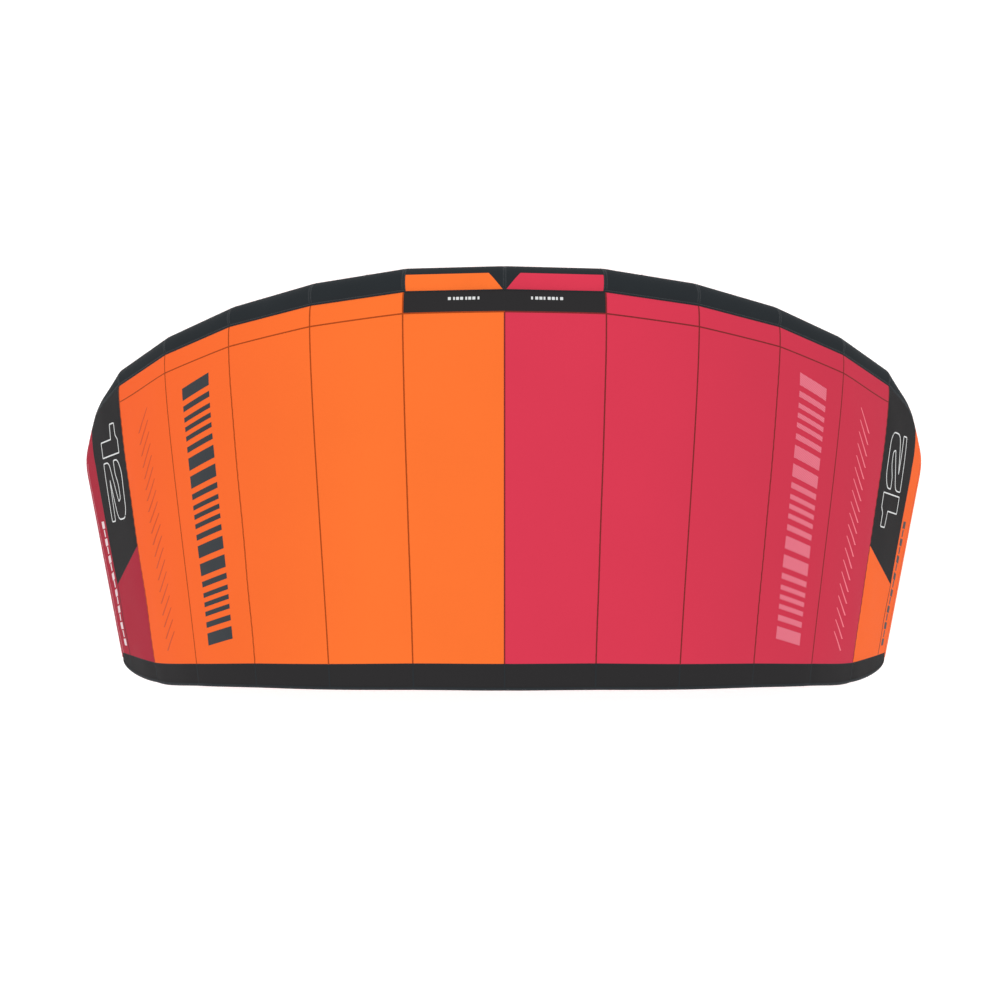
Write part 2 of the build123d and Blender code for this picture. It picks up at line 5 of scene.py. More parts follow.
import bpy
import numpy as np
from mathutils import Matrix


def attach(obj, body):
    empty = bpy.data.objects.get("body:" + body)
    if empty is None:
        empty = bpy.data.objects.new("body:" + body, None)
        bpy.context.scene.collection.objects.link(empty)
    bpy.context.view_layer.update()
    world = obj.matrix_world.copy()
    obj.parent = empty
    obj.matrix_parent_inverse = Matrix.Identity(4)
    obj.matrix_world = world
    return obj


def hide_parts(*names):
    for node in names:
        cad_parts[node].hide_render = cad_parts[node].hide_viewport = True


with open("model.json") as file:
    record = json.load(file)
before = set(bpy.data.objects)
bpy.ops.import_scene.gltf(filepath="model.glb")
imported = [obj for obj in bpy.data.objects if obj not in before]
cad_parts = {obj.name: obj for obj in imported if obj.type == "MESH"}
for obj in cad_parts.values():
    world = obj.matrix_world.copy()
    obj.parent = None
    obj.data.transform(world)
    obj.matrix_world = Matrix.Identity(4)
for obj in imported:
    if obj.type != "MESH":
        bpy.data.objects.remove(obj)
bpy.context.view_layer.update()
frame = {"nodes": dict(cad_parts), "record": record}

# The looks of an inflated 12 square metre kitesurf kite, in metres, in the CAD's frame: X along the span,
# +Y to the leading edge, +Z up. The cloth pieces, tubes, tapes and prints are made here, for one side, and
# mirrored, and so is the leading edge's bladder. The struts' bladders, valves, hoses, clips, pins and
# webbing tabs are the CAD's own, with better materials.

SIDES = {"right": 1, "left": -1}

# --- Driving dimensions of the canopy and its tubes, as in the CAD ----------------------------------

PANEL_WIDTH = 0.516
PANEL_SLOPES = (6.0, 18.0, 27.0, 38.0, 48.5)
CROWN_HEIGHT = 1.7564
FRONT_SEAM_Y = 0.9904
FRONT_SWEEP = (0.0, 0.004, 0.054, 0.139, 0.260, 0.403)
TAIL_Y = -1.0376
TAIL_SWEEP = (0.0, 0.003, 0.020, 0.036, 0.063, 0.087)
TAIL_TAPER = 0.907
TAIL_SINK = 0.060
RIB_LEANS = (0.0, 12.0, 22.5, 32.5, 43.0, 54.0)
TIP_LEAN = 60.0
TIP_EDGE = (
    (2.4060, 0.4634, 0.3434),
    (2.4630, 0.3580, 0.2404),
    (2.5380, 0.1574, 0.0954),
    (2.3180, -1.0286, 0.0594),
)
CAMBERS = (0.046, 0.042, 0.034, 0.028, 0.024, 0.022)
CAMBER_RISE = 0.5
CAMBER_FALL = 1.7
STATIONS = (0.0, 0.055, 0.12, 0.20, 0.32, 0.43, 0.535, 0.74, 0.935, 1.0)
FRONT_BAND_END = 1
TIP_STRIP_START = 3
TIP_COLOUR_SEAM = 6
TAIL_BAND_START = 8
LAST_STATION = len(STATIONS) - 1
TIP_EDGE_SHARES = (0.30, 0.61, 0.80, 0.975, 1.0)
TIP_STRIP_SHARE = 0.26
TIP_TAIL_BULGE = 0.045

TUBE_RADII = (0.100, 0.099, 0.096, 0.090, 0.082, 0.074, 0.064, 0.057, 0.052, 0.032)
SEAM_ANGLES = (20.0, 20.0, 20.0, 20.0, 24.0, 30.0, 0.0, 0.0, 0.0, 0.0)
TUBE_LEANS = RIB_LEANS + (54.0, 56.0, 45.0, 38.0)
SEAM_HEIGHT = 0.0026  # the canopy's outer face above the tubes that it is sewn to
STRUTS = {0: ("centre", 0.062, 0.034), 2: ("inner", 0.057, 0.032), 4: ("outer", 0.050, 0.028)}
STRUT_END = 0.935
VALVE_ANGLE = 108.0
BRIDLE_TAB_ANGLE = 215.0
REAR_TAB_ANGLE = 130.0
REAR_TAB_SHARE = 0.93

RIBS = len(RIB_LEANS)
TIP = RIBS - 1
HEEL = RIBS + 2
CHORD = 2.06
CORNER_REACH = 0.095  # how far from a wing tip joint the tube starts to bend round it
CORNER_FADE = 5  # how fast the canopy's own bend at such a joint fades inwards

# --- The cloth --------------------------------------------------------------------------------------

CLOTH = 0.0009
TAPE = 0.0006
TAPE_LIFT = 0.0005
PRINT = 0.0003
PRINT_LIFT = 0.0003
ROW_PITCH = 0.012
SMOOTH_FROM = 0.16  # share of the chord over which the span's facets turn into one smooth arch
PUFF = 0.0035  # how much fuller a panel stands between its seams
PUCKER = 0.0011  # gathering along a sewn seam
PUCKER_REACH = 0.022
PUCKER_PITCH = 0.062
CREASE = 0.0012
STRUT_HOLD = 0.030  # how far from a strut the cloth lies flat on it
TIP_ARCH = 0.4  # the wing tip is flatter than the arch
TIP_SLANT = 0.37  # how many stations its colour seam slants back across it
TIP_SLANT_REACH = 1.6


def vec(x, y, z):
    return np.array((x, y, z), float)


def unit(vector):
    length = np.linalg.norm(vector)
    return vector / length if length > 1e-9 else vector


def edge_of(holds, low, high, halvings):
    """Narrows a range down to where something that holds at its low end stops holding."""
    for _ in range(halvings):
        middle = (low + high) / 2
        low, high = (middle, high) if holds(middle) else (low, middle)
    return low, high


def leaning(degrees):
    """The direction that leans outwards from straight up, on the right side."""
    return vec(sin(radians(degrees)), 0, cos(radians(degrees)))


def front_seam_points():
    x, z = 0.0, CROWN_HEIGHT
    points = [vec(x, FRONT_SEAM_Y, z)]
    for slope, sweep in zip(PANEL_SLOPES, FRONT_SWEEP[1:]):
        x += PANEL_WIDTH * cos(radians(slope))
        z -= PANEL_WIDTH * sin(radians(slope))
        points.append(vec(x, FRONT_SEAM_Y - sweep, z))
    return points + [vec(*point) for point in TIP_EDGE]


SEAM = front_seam_points()


def share_at(station):
    """The share of a rib's length at a station number, which may lie between two stations."""
    return float(np.interp(station, range(len(STATIONS)), STATIONS))


def station_at(share):
    return float(np.interp(share, STATIONS, range(len(STATIONS))))


def camber(rib, share):
    peak = CAMBER_RISE / (CAMBER_RISE + CAMBER_FALL)
    full = peak**CAMBER_RISE * (1 - peak) ** CAMBER_FALL
    return CAMBERS[rib] * share**CAMBER_RISE * (1 - share) ** CAMBER_FALL / full


def rib_point(rib, share):
    front = SEAM[rib]
    share = min(max(share, 0.0), 1.0)
    tail = vec(front[0] * TAIL_TAPER, TAIL_Y - TAIL_SWEEP[rib], front[2] - TAIL_SINK)
    return front + (tail - front) * share + leaning(RIB_LEANS[rib]) * camber(rib, share)


# The tube's joint number, and the share of the way to the next, where the canopy's edge is at each station
TIP_EDGE_PLACES = (TIP, TIP + 0.5, TIP + 1, TIP + 2, HEEL, *(HEEL + share for share in TIP_EDGE_SHARES))


def corner_shift(joint):
    """How far the tube's line moves at a wing tip joint, where its corner is rounded."""
    if not TIP < joint <= HEEL:
        return vec(0, 0, 0)
    before, after = SEAM[joint] - SEAM[joint - 1], SEAM[joint + 1] - SEAM[joint]
    return (unit(after) - unit(before)) * CORNER_REACH / 4


def rounding(first, share):
    """The same along the way from one joint to the next."""
    length = float(np.linalg.norm(SEAM[first + 1] - SEAM[first]))
    near, far = share * length / CORNER_REACH, (1 - share) * length / CORNER_REACH
    return corner_shift(first) * max(1 - near, 0) ** 2 + corner_shift(first + 1) * max(1 - far, 0) ** 2


def tip_place(station):
    """The tube's joint before the canopy's edge at a station, and the share of the way to the next."""
    place = float(np.interp(station, range(len(STATIONS)), TIP_EDGE_PLACES))
    first = min(int(place), HEEL)
    return first, place - first


def tip_edge(station):
    """The canopy's edge on the wing tip's tube, before its corners are rounded."""
    first, share = tip_place(station)
    return SEAM[first] + (SEAM[first + 1] - SEAM[first]) * share


@lru_cache(maxsize=None)
def span_line(station):
    """Across the canopy at a station: its points, the steps between, the arch's directions, the lengths."""
    share = share_at(station)
    points = [rib_point(rib, share) for rib in range(RIBS)] + [tip_edge(station)]
    steps = [b - a for a, b in zip(points, points[1:])]
    units = [unit(step) for step in steps]
    turns = [vec(1, 0, 0)] + [unit(a + b) for a, b in zip(units, units[1:])] + [units[-1]]
    lengths = [float(np.linalg.norm(step)) for step in steps]
    return points, steps, turns, lengths


def panel_width(panel, station):
    return max(span_line(round(station, 5))[3][panel], 1e-6)


def ease(share):
    s = min(share / SMOOTH_FROM, 1.0)
    return s * s * (3 - 2 * s)


def strip_share(station):
    """How much of the wing tip's width its strip takes."""
    return TIP_STRIP_SHARE * min(max(station - TIP_STRIP_START, 0.0), 1.0)


def relief(panel, s, share, width, side):
    """How far the cloth stands off the smooth arch: fuller between seams, puckered at them, and creased.

    The waves' own numbers only keep them from repeating."""
    rib = panel + (s > 0.5)
    from_seam = min(s, 1 - s) * width
    chordwise = share * CHORD
    wave = sin(tau * chordwise / PUCKER_PITCH + 2.4 * rib + 0.9 * sin(5.3 * chordwise + rib))
    pucker = PUCKER * exp(-from_seam / PUCKER_REACH) * wave
    on_strut = 1 - exp(-((from_seam / STRUT_HOLD) ** 2)) if rib in STRUTS else 1
    puff = PUFF * (1 - (2 * s - 1) ** 4) * min(width / PANEL_WIDTH, 1)
    x = side * (panel + s) * PANEL_WIDTH
    crease = sin(9.1 * x + 6.3 * chordwise + 1.3 * sin(4.1 * chordwise))
    crease += 0.6 * sin(17.0 * x - 9.7 * chordwise + 2.1 * sin(5.0 * x))
    return (pucker + puff + CREASE * crease) * ease(share) * on_strut


def tail_bulge(s):
    """The wing tip's rounded trailing corner, fullest where its strip begins."""
    peak = 1 - TIP_STRIP_SHARE
    fall = TIP_STRIP_SHARE / peak
    return s * max(1 - s, 0) ** fall / (peak * TIP_STRIP_SHARE**fall)


def canopy(span, station, side=1):
    """A point of the canopy's outer face: span counts ribs outwards, and 6 is the wing tip's tube."""
    points, steps, turns, lengths = span_line(round(station, 5))
    panel = min(int(span), TIP)
    s, step, length = span - panel, steps[panel], lengths[panel]
    share = share_at(station)
    into = (s**3 - 2 * s**2 + s) * (turns[panel] * length - step)
    out = (s**3 - s**2) * (turns[panel + 1] * length - step)
    arch = ease(share) * (into + out)
    if panel == TIP:
        arch *= (TIP_ARCH, 0, TIP_ARCH)
    point = points[panel] + s * step + arch
    if panel == TIP:
        point = point + rounding(*tip_place(station)) * s**CORNER_FADE
    lean = float(np.interp(span, range(RIBS + 1), RIB_LEANS + (TIP_LEAN,)))
    point = point + leaning(lean) * relief(panel, s, share, length, side)
    if panel == TIP and station > TAIL_BAND_START:
        point[1] -= TIP_TAIL_BULGE * tail_bulge(s) * (station - TAIL_BAND_START)
    point[0] *= side
    return point


def beside_rib(rib, offset, station, side=1):
    """A point of the canopy an offset away from a rib, in metres, outwards if positive."""
    if rib == 0 and offset < 0:
        return canopy(-offset / PANEL_WIDTH, station, -side)
    panel = rib if offset >= 0 else rib - 1
    return canopy(rib + max(min(offset / panel_width(panel, station), 1), -1), station, side)


def rows(first, last, pitch=ROW_PITCH):
    """Station numbers evenly along the chord, and closer together where the canopy leaves the tube."""
    found = [float(first)]
    for j in range(int(first), int(last)):
        count = max(3, round((STATIONS[j + 1] - STATIONS[j]) * CHORD / pitch))
        found += [j + ((k / count) ** 2 if j == 0 else k / count) for k in range(1, count + 1)]
    return found


def seam_spaced():
    """Shares of a panel's width, close together at its two seams."""
    half = (0.0, 0.004, 0.012, 0.022, 0.035, 0.052, 0.075, 0.105, 0.145, 0.20, 0.26)
    shares = [distance / PANEL_WIDTH for distance in half]
    return shares + [1 - share for share in shares[-2::-1]]


ACROSS = seam_spaced()

# --- Meshes -----------------------------------------------------------------------------------------


def lengths_along(grid, axis):
    """How far each point of a grid lies from the grid's first edge, along the grid."""
    steps = np.linalg.norm(np.diff(grid, axis=axis), axis=2)
    total = np.cumsum(steps, axis=axis)
    return np.insert(total, 0, 0, axis=axis)


def flat_uv(grid):
    """The cloth's own coordinates in metres, from the middle of the grid."""
    u, v = lengths_along(grid, 0), lengths_along(grid, 1)
    return np.stack([u - u[-1:] / 2, v - v[:, -1:] / 2], axis=-1)


def cells_of(grid, flip):
    n, m = grid.shape[:2]
    index = np.arange(n * m).reshape(n, m)
    cells = np.stack([index[:-1, :-1], index[1:, :-1], index[1:, 1:], index[:-1, 1:]], axis=-1)
    return (cells[..., ::-1] if flip else cells).reshape(-1, 4)


def corners_once(cell):
    """A cell's corners without repeats, as positions in the cell."""
    return [k for k in range(4) if cell[k] != cell[k - 1]]


def vertex_normals(points, faces):
    normals = np.zeros_like(points)
    for face in faces:
        corners = points[list(face)]
        cross = np.cross(corners[2] - corners[0], corners[-1] - corners[1])
        normals[list(face)] += cross
    return normals / np.maximum(np.linalg.norm(normals, axis=1, keepdims=True), 1e-12)


class Cloth:
    """Thin closed cloth, gathered from grids of points on its outer face."""

    def __init__(self, thickness, lift=0.0):
        self.thickness = thickness
        self.lift = lift
        self.points, self.faces, self.uvs = [], [], []
        self.area = 0.0

    def add(self, grid, side=1, keep=None, uv=None):
        """Adds a grid whose normals face out on the right side, without the cells that keep leaves out."""
        grid = np.asarray(grid, float)
        uv = (flat_uv(grid) if uv is None else np.asarray(uv, float)).reshape(-1, 2)
        cells = cells_of(grid, side < 0)
        if keep is not None:
            cells = cells[np.asarray(keep, bool).reshape(-1)]
        unique, where = np.unique(np.round(grid.reshape(-1, 3), 6), axis=0, return_inverse=True)
        where = where.reshape(-1)
        faces, face_uvs = [], []
        for cell in cells:
            merged = where[cell]
            corners = corners_once(merged)
            if len(corners) > 2:
                faces.append([int(merged[k]) for k in corners])
                face_uvs.append([tuple(uv[cell[k]]) for k in corners])
        self._close(unique, faces, face_uvs)
        return self

    def _close(self, points, faces, face_uvs):
        """Gives the open surface its thickness, with a rim round every edge."""
        normals = vertex_normals(points, faces)
        outer = points + normals * self.lift
        inner = outer - normals * self.thickness
        start, count = sum(len(p) for p in self.points), len(points)
        edges = {(a, b) for face in faces for a, b in zip(face, face[1:] + face[:1])}
        self.points += [outer, inner]
        for face, uvs in zip(faces, face_uvs):
            corners = outer[face]
            self.area += np.linalg.norm(np.cross(corners[2] - corners[0], corners[-1] - corners[1])) / 2
            self.faces.append([start + k for k in face])
            self.faces.append([start + count + k for k in reversed(face)])
            self.uvs += uvs + uvs[::-1]
            pairs = zip(face, face[1:] + face[:1], uvs, uvs[1:] + uvs[:1])
            for a, b, uv_a, uv_b in pairs:
                if (b, a) not in edges:
                    self.faces.append([start + k for k in (b, a, a + count, b + count)])
                    self.uvs += [uv_b, uv_a, uv_a, uv_b]

    def mesh(self, name):
        mesh = bpy.data.meshes.new(name)
        mesh.from_pydata(np.concatenate(self.points).tolist(), [], self.faces)
        layer = mesh.uv_layers.new(name="UVMap")
        layer.data.foreach_set("uv", np.array(self.uvs, np.float32).reshape(-1))
        mesh.shade_smooth()
        mesh.set_sharp_from_angle(angle=radians(50))
        return mesh


def piece(name, cloth, material):
    """Puts cloth in the scene as one object on the kite's body."""
    mesh = cloth.mesh(name)
    mesh.materials.append(material)
    obj = bpy.data.objects.new(name, mesh)
    bpy.context.scene.collection.objects.link(obj)
    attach(obj, "kite")
    return obj


# --- Materials --------------------------------------------------------------------------------------


STUDIO_LIGHT = 1.25  # how bright the studio makes a white sheet


def colour(red, green, blue):
    """The base colour that looks like a screen colour, from 0 to 255, in the studio's light."""
    shares = [c / 255 for c in (red, green, blue)]
    linear = [s / 12.92 if s <= 0.04045 else ((s + 0.055) / 1.055) ** 2.4 for s in shares]
    return (*(c / STUDIO_LIGHT for c in linear), 1.0)


class Paint:
    """A material's node tree, built one node at a time."""

    def __init__(self, name):
        self.material = bpy.data.materials.new(name)
        self.material.use_nodes = True
        self.tree = self.material.node_tree
        self.shader = self.tree.nodes["Principled BSDF"]

    def node(self, kind, **settings):
        made = self.tree.nodes.new(kind)
        for key, value in settings.items():
            setattr(made, key, value)
        return made

    def put(self, value, socket):
        """Sets a socket to a value, or links it to another node's output."""
        if hasattr(value, "is_output"):
            self.tree.links.new(value, socket)
        else:
            socket.default_value = value

    def set(self, **values):
        for name, value in values.items():
            self.put(value, self.shader.inputs[name.replace("_", " ").title().replace("Ior", "IOR")])
        return self

    def math(self, operation, *values):
        made = self.node("ShaderNodeMath", operation=operation)
        for value, socket in zip(values, made.inputs):
            self.put(value, socket)
        return made.outputs[0]

    def where(self, kind="UV"):
        return self.node("ShaderNodeTexCoord").outputs[kind]

    def noise(self, scale, detail=3.0, vector=None, stretch=None):
        vector = vector or self.where("Object")
        if stretch:
            mapping = self.node("ShaderNodeMapping")
            mapping.inputs["Scale"].default_value = stretch
            self.put(vector, mapping.inputs["Vector"])
            vector = mapping.outputs[0]
        made = self.node("ShaderNodeTexNoise")
        made.inputs["Scale"].default_value = scale
        made.inputs["Detail"].default_value = detail
        self.put(vector, made.inputs["Vector"])
        return made.outputs["Fac"]

    def between(self, value, low, high):
        made = self.node("ShaderNodeMapRange")
        self.put(value, made.inputs["Value"])
        made.inputs["To Min"].default_value = low
        made.inputs["To Max"].default_value = high
        return made.outputs[0]

    def mix(self, share, first, second):
        made = self.node("ShaderNodeMix", data_type="RGBA")
        self.put(share, made.inputs["Factor"])
        self.put(first, made.inputs["A"])
        self.put(second, made.inputs["B"])
        return made.outputs["Result"]

    def scaled(self, base, factor):
        """A colour, times a factor."""
        made = self.node("ShaderNodeVectorMath", operation="SCALE")
        self.put(base, made.inputs[0])
        self.put(factor, made.inputs["Scale"])
        return made.outputs[0]

    def bump(self, height, distance, strength=1.0):
        made = self.node("ShaderNodeBump")
        made.inputs["Strength"].default_value = strength
        made.inputs["Distance"].default_value = distance
        self.put(height, made.inputs["Height"])
        self.put(made.outputs[0], self.shader.inputs["Normal"])
        return self

    def lines(self, axis, pitch, width):
        """1 on thin lines across the cloth's own coordinate, 0 between them."""
        parts = self.node("ShaderNodeSeparateXYZ")
        self.put(self.where(), parts.inputs[0])
        turned = self.math("PINGPONG", parts.outputs[axis], pitch / 2)
        return self.math("LESS_THAN", turned, width / 2)


def shade(base, factor):
    return tuple(min(c * factor, 1.0) for c in base[:3]) + (1.0,)


PAINTED_SHADE_REACH = (0.7, 2.3)  # from where to where outwards along X the canopy's two colours turn to their painted shade, darker for the steeper outer panels
RIPSTOP_PITCH = 0.0060
RIPSTOP_YARN = 0.0009
WEAVE_PITCH = 0.0024
WEAVE_YARN = 0.0012


def ripstop(name, base, light=1.10, roughness=0.42, painted_shade=None):
    """Sailcloth of fine yarn with a grid of thicker yarns, dyed through, with painted shade that darkens it
    towards the wing tips, where the panels are steeper.
    """
    paint = Paint(name)
    grid = paint.math("MAXIMUM", *(paint.lines(axis, RIPSTOP_PITCH, RIPSTOP_YARN) for axis in (0, 1)))
    tone = paint.between(paint.noise(2.2, 4.0), 0.965, 1.03)
    parts = paint.node("ShaderNodeSeparateXYZ")
    paint.put(paint.where("Object"), parts.inputs[0])
    outwards = paint.node("ShaderNodeMapRange")
    paint.put(paint.math("ABSOLUTE", parts.outputs[0]), outwards.inputs["Value"])
    outwards.inputs["From Min"].default_value, outwards.inputs["From Max"].default_value = PAINTED_SHADE_REACH
    # Painted shade: the colour turns towards its darker copy outwards along X, as if the light fell off on
    # the steeper panels
    dye_with_painted_shade = paint.mix(outwards.outputs[0], base, painted_shade or base)
    cloth = paint.scaled(dye_with_painted_shade, tone)
    yarns = paint.math("MULTIPLY", grid, 0.45)
    paint.set(base_color=paint.mix(yarns, cloth, paint.scaled(dye_with_painted_shade, light)))
    paint.set(roughness=paint.between(paint.noise(5.0, 2.0), roughness - 0.05, roughness + 0.07))
    paint.set(specular_ior_level=0.005)
    crumple = paint.noise(16.0, 5.0, stretch=(1.0, 0.6, 1.0))
    height = paint.math("ADD", paint.math("MULTIPLY", grid, 0.10), crumple)
    paint.bump(height, 0.0022, 0.35)
    return paint.material


def dacron(name, base, roughness=0.5):
    """The firm plain-woven polyester of inflated casings and reinforcements."""
    paint = Paint(name)
    yarns = paint.math("ADD", *(paint.lines(axis, WEAVE_PITCH, WEAVE_YARN) for axis in (0, 1)))
    tone = paint.between(paint.noise(4.0, 5.0), 0.0, 1.0)
    paint.set(base_color=paint.mix(tone, shade(base, 0.90), shade(base, 1.12)))
    paint.set(roughness=paint.between(paint.noise(9.0, 3.0), roughness - 0.06, roughness + 0.08))
    paint.set(specular_ior_level=0.010)
    height = paint.math("ADD", paint.math("MULTIPLY", yarns, 0.06), paint.noise(28.0, 4.0))
    paint.bump(height, 0.0012, 0.4)
    return paint.material


def stitched(name, base, thread, apart):
    """Tape with two rows of stitches along it."""
    paint = Paint(name)
    parts = paint.node("ShaderNodeSeparateXYZ")
    paint.put(paint.where(), parts.inputs[0])
    from_row = paint.math("SUBTRACT", paint.math("ABSOLUTE", parts.outputs[1]), apart / 2)
    row = paint.math("LESS_THAN", paint.math("ABSOLUTE", from_row), 0.0005)
    dash = paint.math("LESS_THAN", paint.math("PINGPONG", parts.outputs[0], 0.0023), 0.0015)
    stitch = paint.math("MULTIPLY", row, dash)
    tone = paint.between(paint.noise(30.0, 3.0), 0.0, 1.0)
    cloth = paint.mix(tone, shade(base, 0.88), shade(base, 1.10))
    paint.set(base_color=paint.mix(stitch, cloth, thread), roughness=0.6, specular_ior_level=0.05)
    paint.bump(paint.math("ADD", stitch, paint.noise(90.0, 2.0)), 0.0012, 0.25)
    return paint.material


def printed(name, base, stripes=None):
    """Ink on the cloth, in one colour or in fine slanted stripes of two."""
    paint = Paint(name)
    tone = paint.between(paint.noise(12.0, 4.0), 0.0, 1.0)
    ink = paint.mix(tone, shade(base, 0.93), shade(base, 1.06))
    if stripes:
        parts = paint.node("ShaderNodeSeparateXYZ")
        paint.put(paint.where("Object"), parts.inputs[0])
        slanted = paint.math("ADD", parts.outputs[1], paint.math("MULTIPLY", parts.outputs[0], 0.9))
        band = paint.math("LESS_THAN", paint.math("PINGPONG", slanted, 0.0065), 0.0026)
        ink = paint.mix(band, ink, stripes)
    paint.set(base_color=ink, roughness=0.4, specular_ior_level=0.06)
    paint.bump(paint.noise(40.0, 3.0), 0.0008, 0.3)
    return paint.material


def moulded(name, base, roughness=0.35, **more):
    """Injection-moulded plastic or rubber with a faint grain and handling marks."""
    paint = Paint(name)
    tone = paint.between(paint.noise(60.0, 4.0), 0.0, 1.0)
    paint.set(base_color=paint.mix(tone, shade(base, 0.92), shade(base, 1.06)))
    paint.set(roughness=paint.between(paint.noise(140.0, 4.0), roughness - 0.05, roughness + 0.10))
    paint.set(**more)
    paint.bump(paint.noise(900.0, 2.0), 0.0003, 0.25)
    return paint.material


def webbing(name, base):
    """Ribbed polyester webbing."""
    paint = Paint(name)
    wave = paint.node("ShaderNodeTexWave", wave_type="BANDS", bands_direction="Z")
    wave.inputs["Scale"].default_value = 330.0
    wave.inputs["Distortion"].default_value = 1.5
    paint.put(paint.where("Object"), wave.inputs["Vector"])
    paint.set(base_color=paint.mix(wave.outputs["Fac"], shade(base, 0.75), shade(base, 1.15)))
    paint.set(roughness=0.7, specular_ior_level=0.25, sheen_weight=0.3)
    paint.bump(wave.outputs["Fac"], 0.0005, 0.6)
    return paint.material


ORANGE = colour(255, 119, 52)
CRIMSON = colour(220, 60, 84)
# The two colours below are painted shade: darker copies of the canopy's orange and crimson for its steeper
# outer panels
ORANGE_PAINTED_SHADE = colour(243, 99, 50)
CRIMSON_PAINTED_SHADE = colour(199, 58, 78)
CHARCOAL = colour(47, 46, 47)
TUBE_DARK = colour(44, 48, 51)
TIP_CRIMSON = colour(167, 48, 64)
TIP_ORANGE = colour(252, 110, 54)
SEAM_ORANGE = colour(185, 76, 22)
SEAM_CRIMSON = colour(139, 46, 46)
THREAD_BROWN = colour(58, 36, 34)
THREAD_GREY = colour(100, 104, 108)
THREAD_PALE = colour(214, 200, 196)
INK_DARK = colour(58, 62, 66)
INK_PINK = colour(234, 126, 144)
PINK_STRIPE = colour(224, 98, 118)
INK_WHITE = colour(226, 228, 228)
INK_ROSE = colour(226, 206, 210)
HATCH_ORANGE = colour(206, 78, 34)
HATCH_PINK = colour(246, 122, 138)

MATERIALS = {
    # The two canopy materials carry painted shade towards the wing tips
    "canopy_orange": ripstop("canopy_orange_ripstop", ORANGE, painted_shade=ORANGE_PAINTED_SHADE),
    "canopy_crimson": ripstop("canopy_crimson_ripstop", CRIMSON, painted_shade=CRIMSON_PAINTED_SHADE),
    "canopy_charcoal": ripstop("canopy_charcoal_ripstop", CHARCOAL, light=1.5),
    "tip_crimson": ripstop("tip_crimson_ripstop", TIP_CRIMSON, light=1.2),
    "tip_orange": ripstop("tip_orange_ripstop", TIP_ORANGE),
    "tube_charcoal": dacron("tube_charcoal_dacron", TUBE_DARK),
    "tube_crimson": dacron("tube_crimson_dacron", TIP_CRIMSON),
    "tube_orange": dacron("tube_orange_dacron", TIP_ORANGE),
    "flash_orange": dacron("flash_orange_dacron", ORANGE),
    "flash_crimson": dacron("flash_crimson_dacron", CRIMSON),
    "patch": dacron("patch_dacron", colour(58, 61, 64), 0.6),
    "seam_orange": stitched("seam_orange", SEAM_ORANGE, THREAD_BROWN, 0.004),
    "seam_crimson": stitched("seam_crimson", SEAM_CRIMSON, THREAD_BROWN, 0.004),
    "dark_tape": stitched("dark_tape", TUBE_DARK, THREAD_GREY, 0.013),
    "crimson_tape": stitched("crimson_tape", TIP_CRIMSON, THREAD_PALE, 0.009),
    # The line stands for the seam beside the wing tips' edges. Its inks are painted light: the pale pink on
    # the left is a painted highlight, and the dark orange on the right is painted shade
    "piping_highlight_crimson": printed("piping_highlight_crimson", colour(214, 146, 156)),
    "piping_shade_orange": printed("piping_shade_orange", HATCH_ORANGE),
    "orange_tape": stitched("orange_tape", TIP_ORANGE, THREAD_PALE, 0.009),
    "ink_dark": printed("ink_dark", INK_DARK),
    "ink_pink": printed("ink_pink", INK_PINK, stripes=PINK_STRIPE),
    "ink_white": printed("ink_white", INK_WHITE),
    "ink_rose": printed("ink_rose", INK_ROSE),
    "hatch_orange": printed("hatch_orange_ink", HATCH_ORANGE),
    "hatch_pink": printed("hatch_pink_ink", HATCH_PINK),
    "bladder_film": moulded("bladder_film", colour(225, 228, 226), 0.25, transmission_weight=0.35),
    "hose_clear": moulded("hose_clear", colour(214, 222, 224), 0.22, transmission_weight=0.45),
    "valve_grey": moulded("valve_grey", colour(74, 78, 82), 0.42),
    "cap_orange": moulded("cap_orange", colour(240, 100, 36), 0.38),
    "clip_black": moulded("clip_black", colour(28, 29, 31), 0.40),
    "pin_steel": moulded("pin_steel", colour(190, 192, 195), 0.25, metallic=1.0),
    "webbing": webbing("webbing_weave", colour(52, 54, 58)),
}
CANOPY_SLOT = {"right": "canopy_crimson", "left": "canopy_orange"}
TIP_SLOT = {"right": "tip_orange", "left": "tip_crimson"}
SEAM_TAPE = {"right": "seam_crimson", "left": "seam_orange"}
TIP_TAPE = {"right": "orange_tape", "left": "crimson_tape"}
# The piping inks: a painted highlight on the left wing tip, painted shade on the right
TIP_PIPING_LIGHT_AND_SHADE = {"right": "piping_shade_orange", "left": "piping_highlight_crimson"}

SHEETS = {}  # every sheet's object, cloth and flat size, and the pieces sewn or printed on it


def sheet(name, cloth, material, node, flat):
    obj = piece(name, cloth, MATERIALS[material])
    if node:
        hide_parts(node)
    SHEETS[name] = {"obj": obj, "cloth": cloth, "flat": flat, "with": []}
    return obj


def trim(owner, name, cloth, material):
    """A piece that is sewn or printed on a sheet."""
    SHEETS[owner]["with"].append(piece(name, cloth, MATERIALS[material]))


# --- Canopy pieces ----------------------------------------------------------------------------------


def canopy_grid(spans, stations, side):
    """Points over a part of the canopy; spans gives the span numbers at a station."""
    slant = tip_station if spans is tip_panel_spans else lambda span, station: station
    return [[canopy(u, slant(u, w), side) for u in spans(w)] for w in stations]


def panel_spans(panel):
    return lambda station: [panel + s for s in ACROSS]


def tip_panel_spans(station):
    return [TIP + s * (1 - strip_share(station)) for s in ACROSS]


def tip_station(span, station):
    """The station of a tip panel's row, which slants where the two colours meet."""
    near = max(1 - abs(station - TIP_COLOUR_SEAM) / TIP_SLANT_REACH, 0)
    return station + TIP_SLANT * (span - TIP) * near


def tip_strip_spans(station):
    inner = TIP + 1 - strip_share(station)
    return [inner + (TIP + 1 - inner) * k / 8 for k in range(9)]


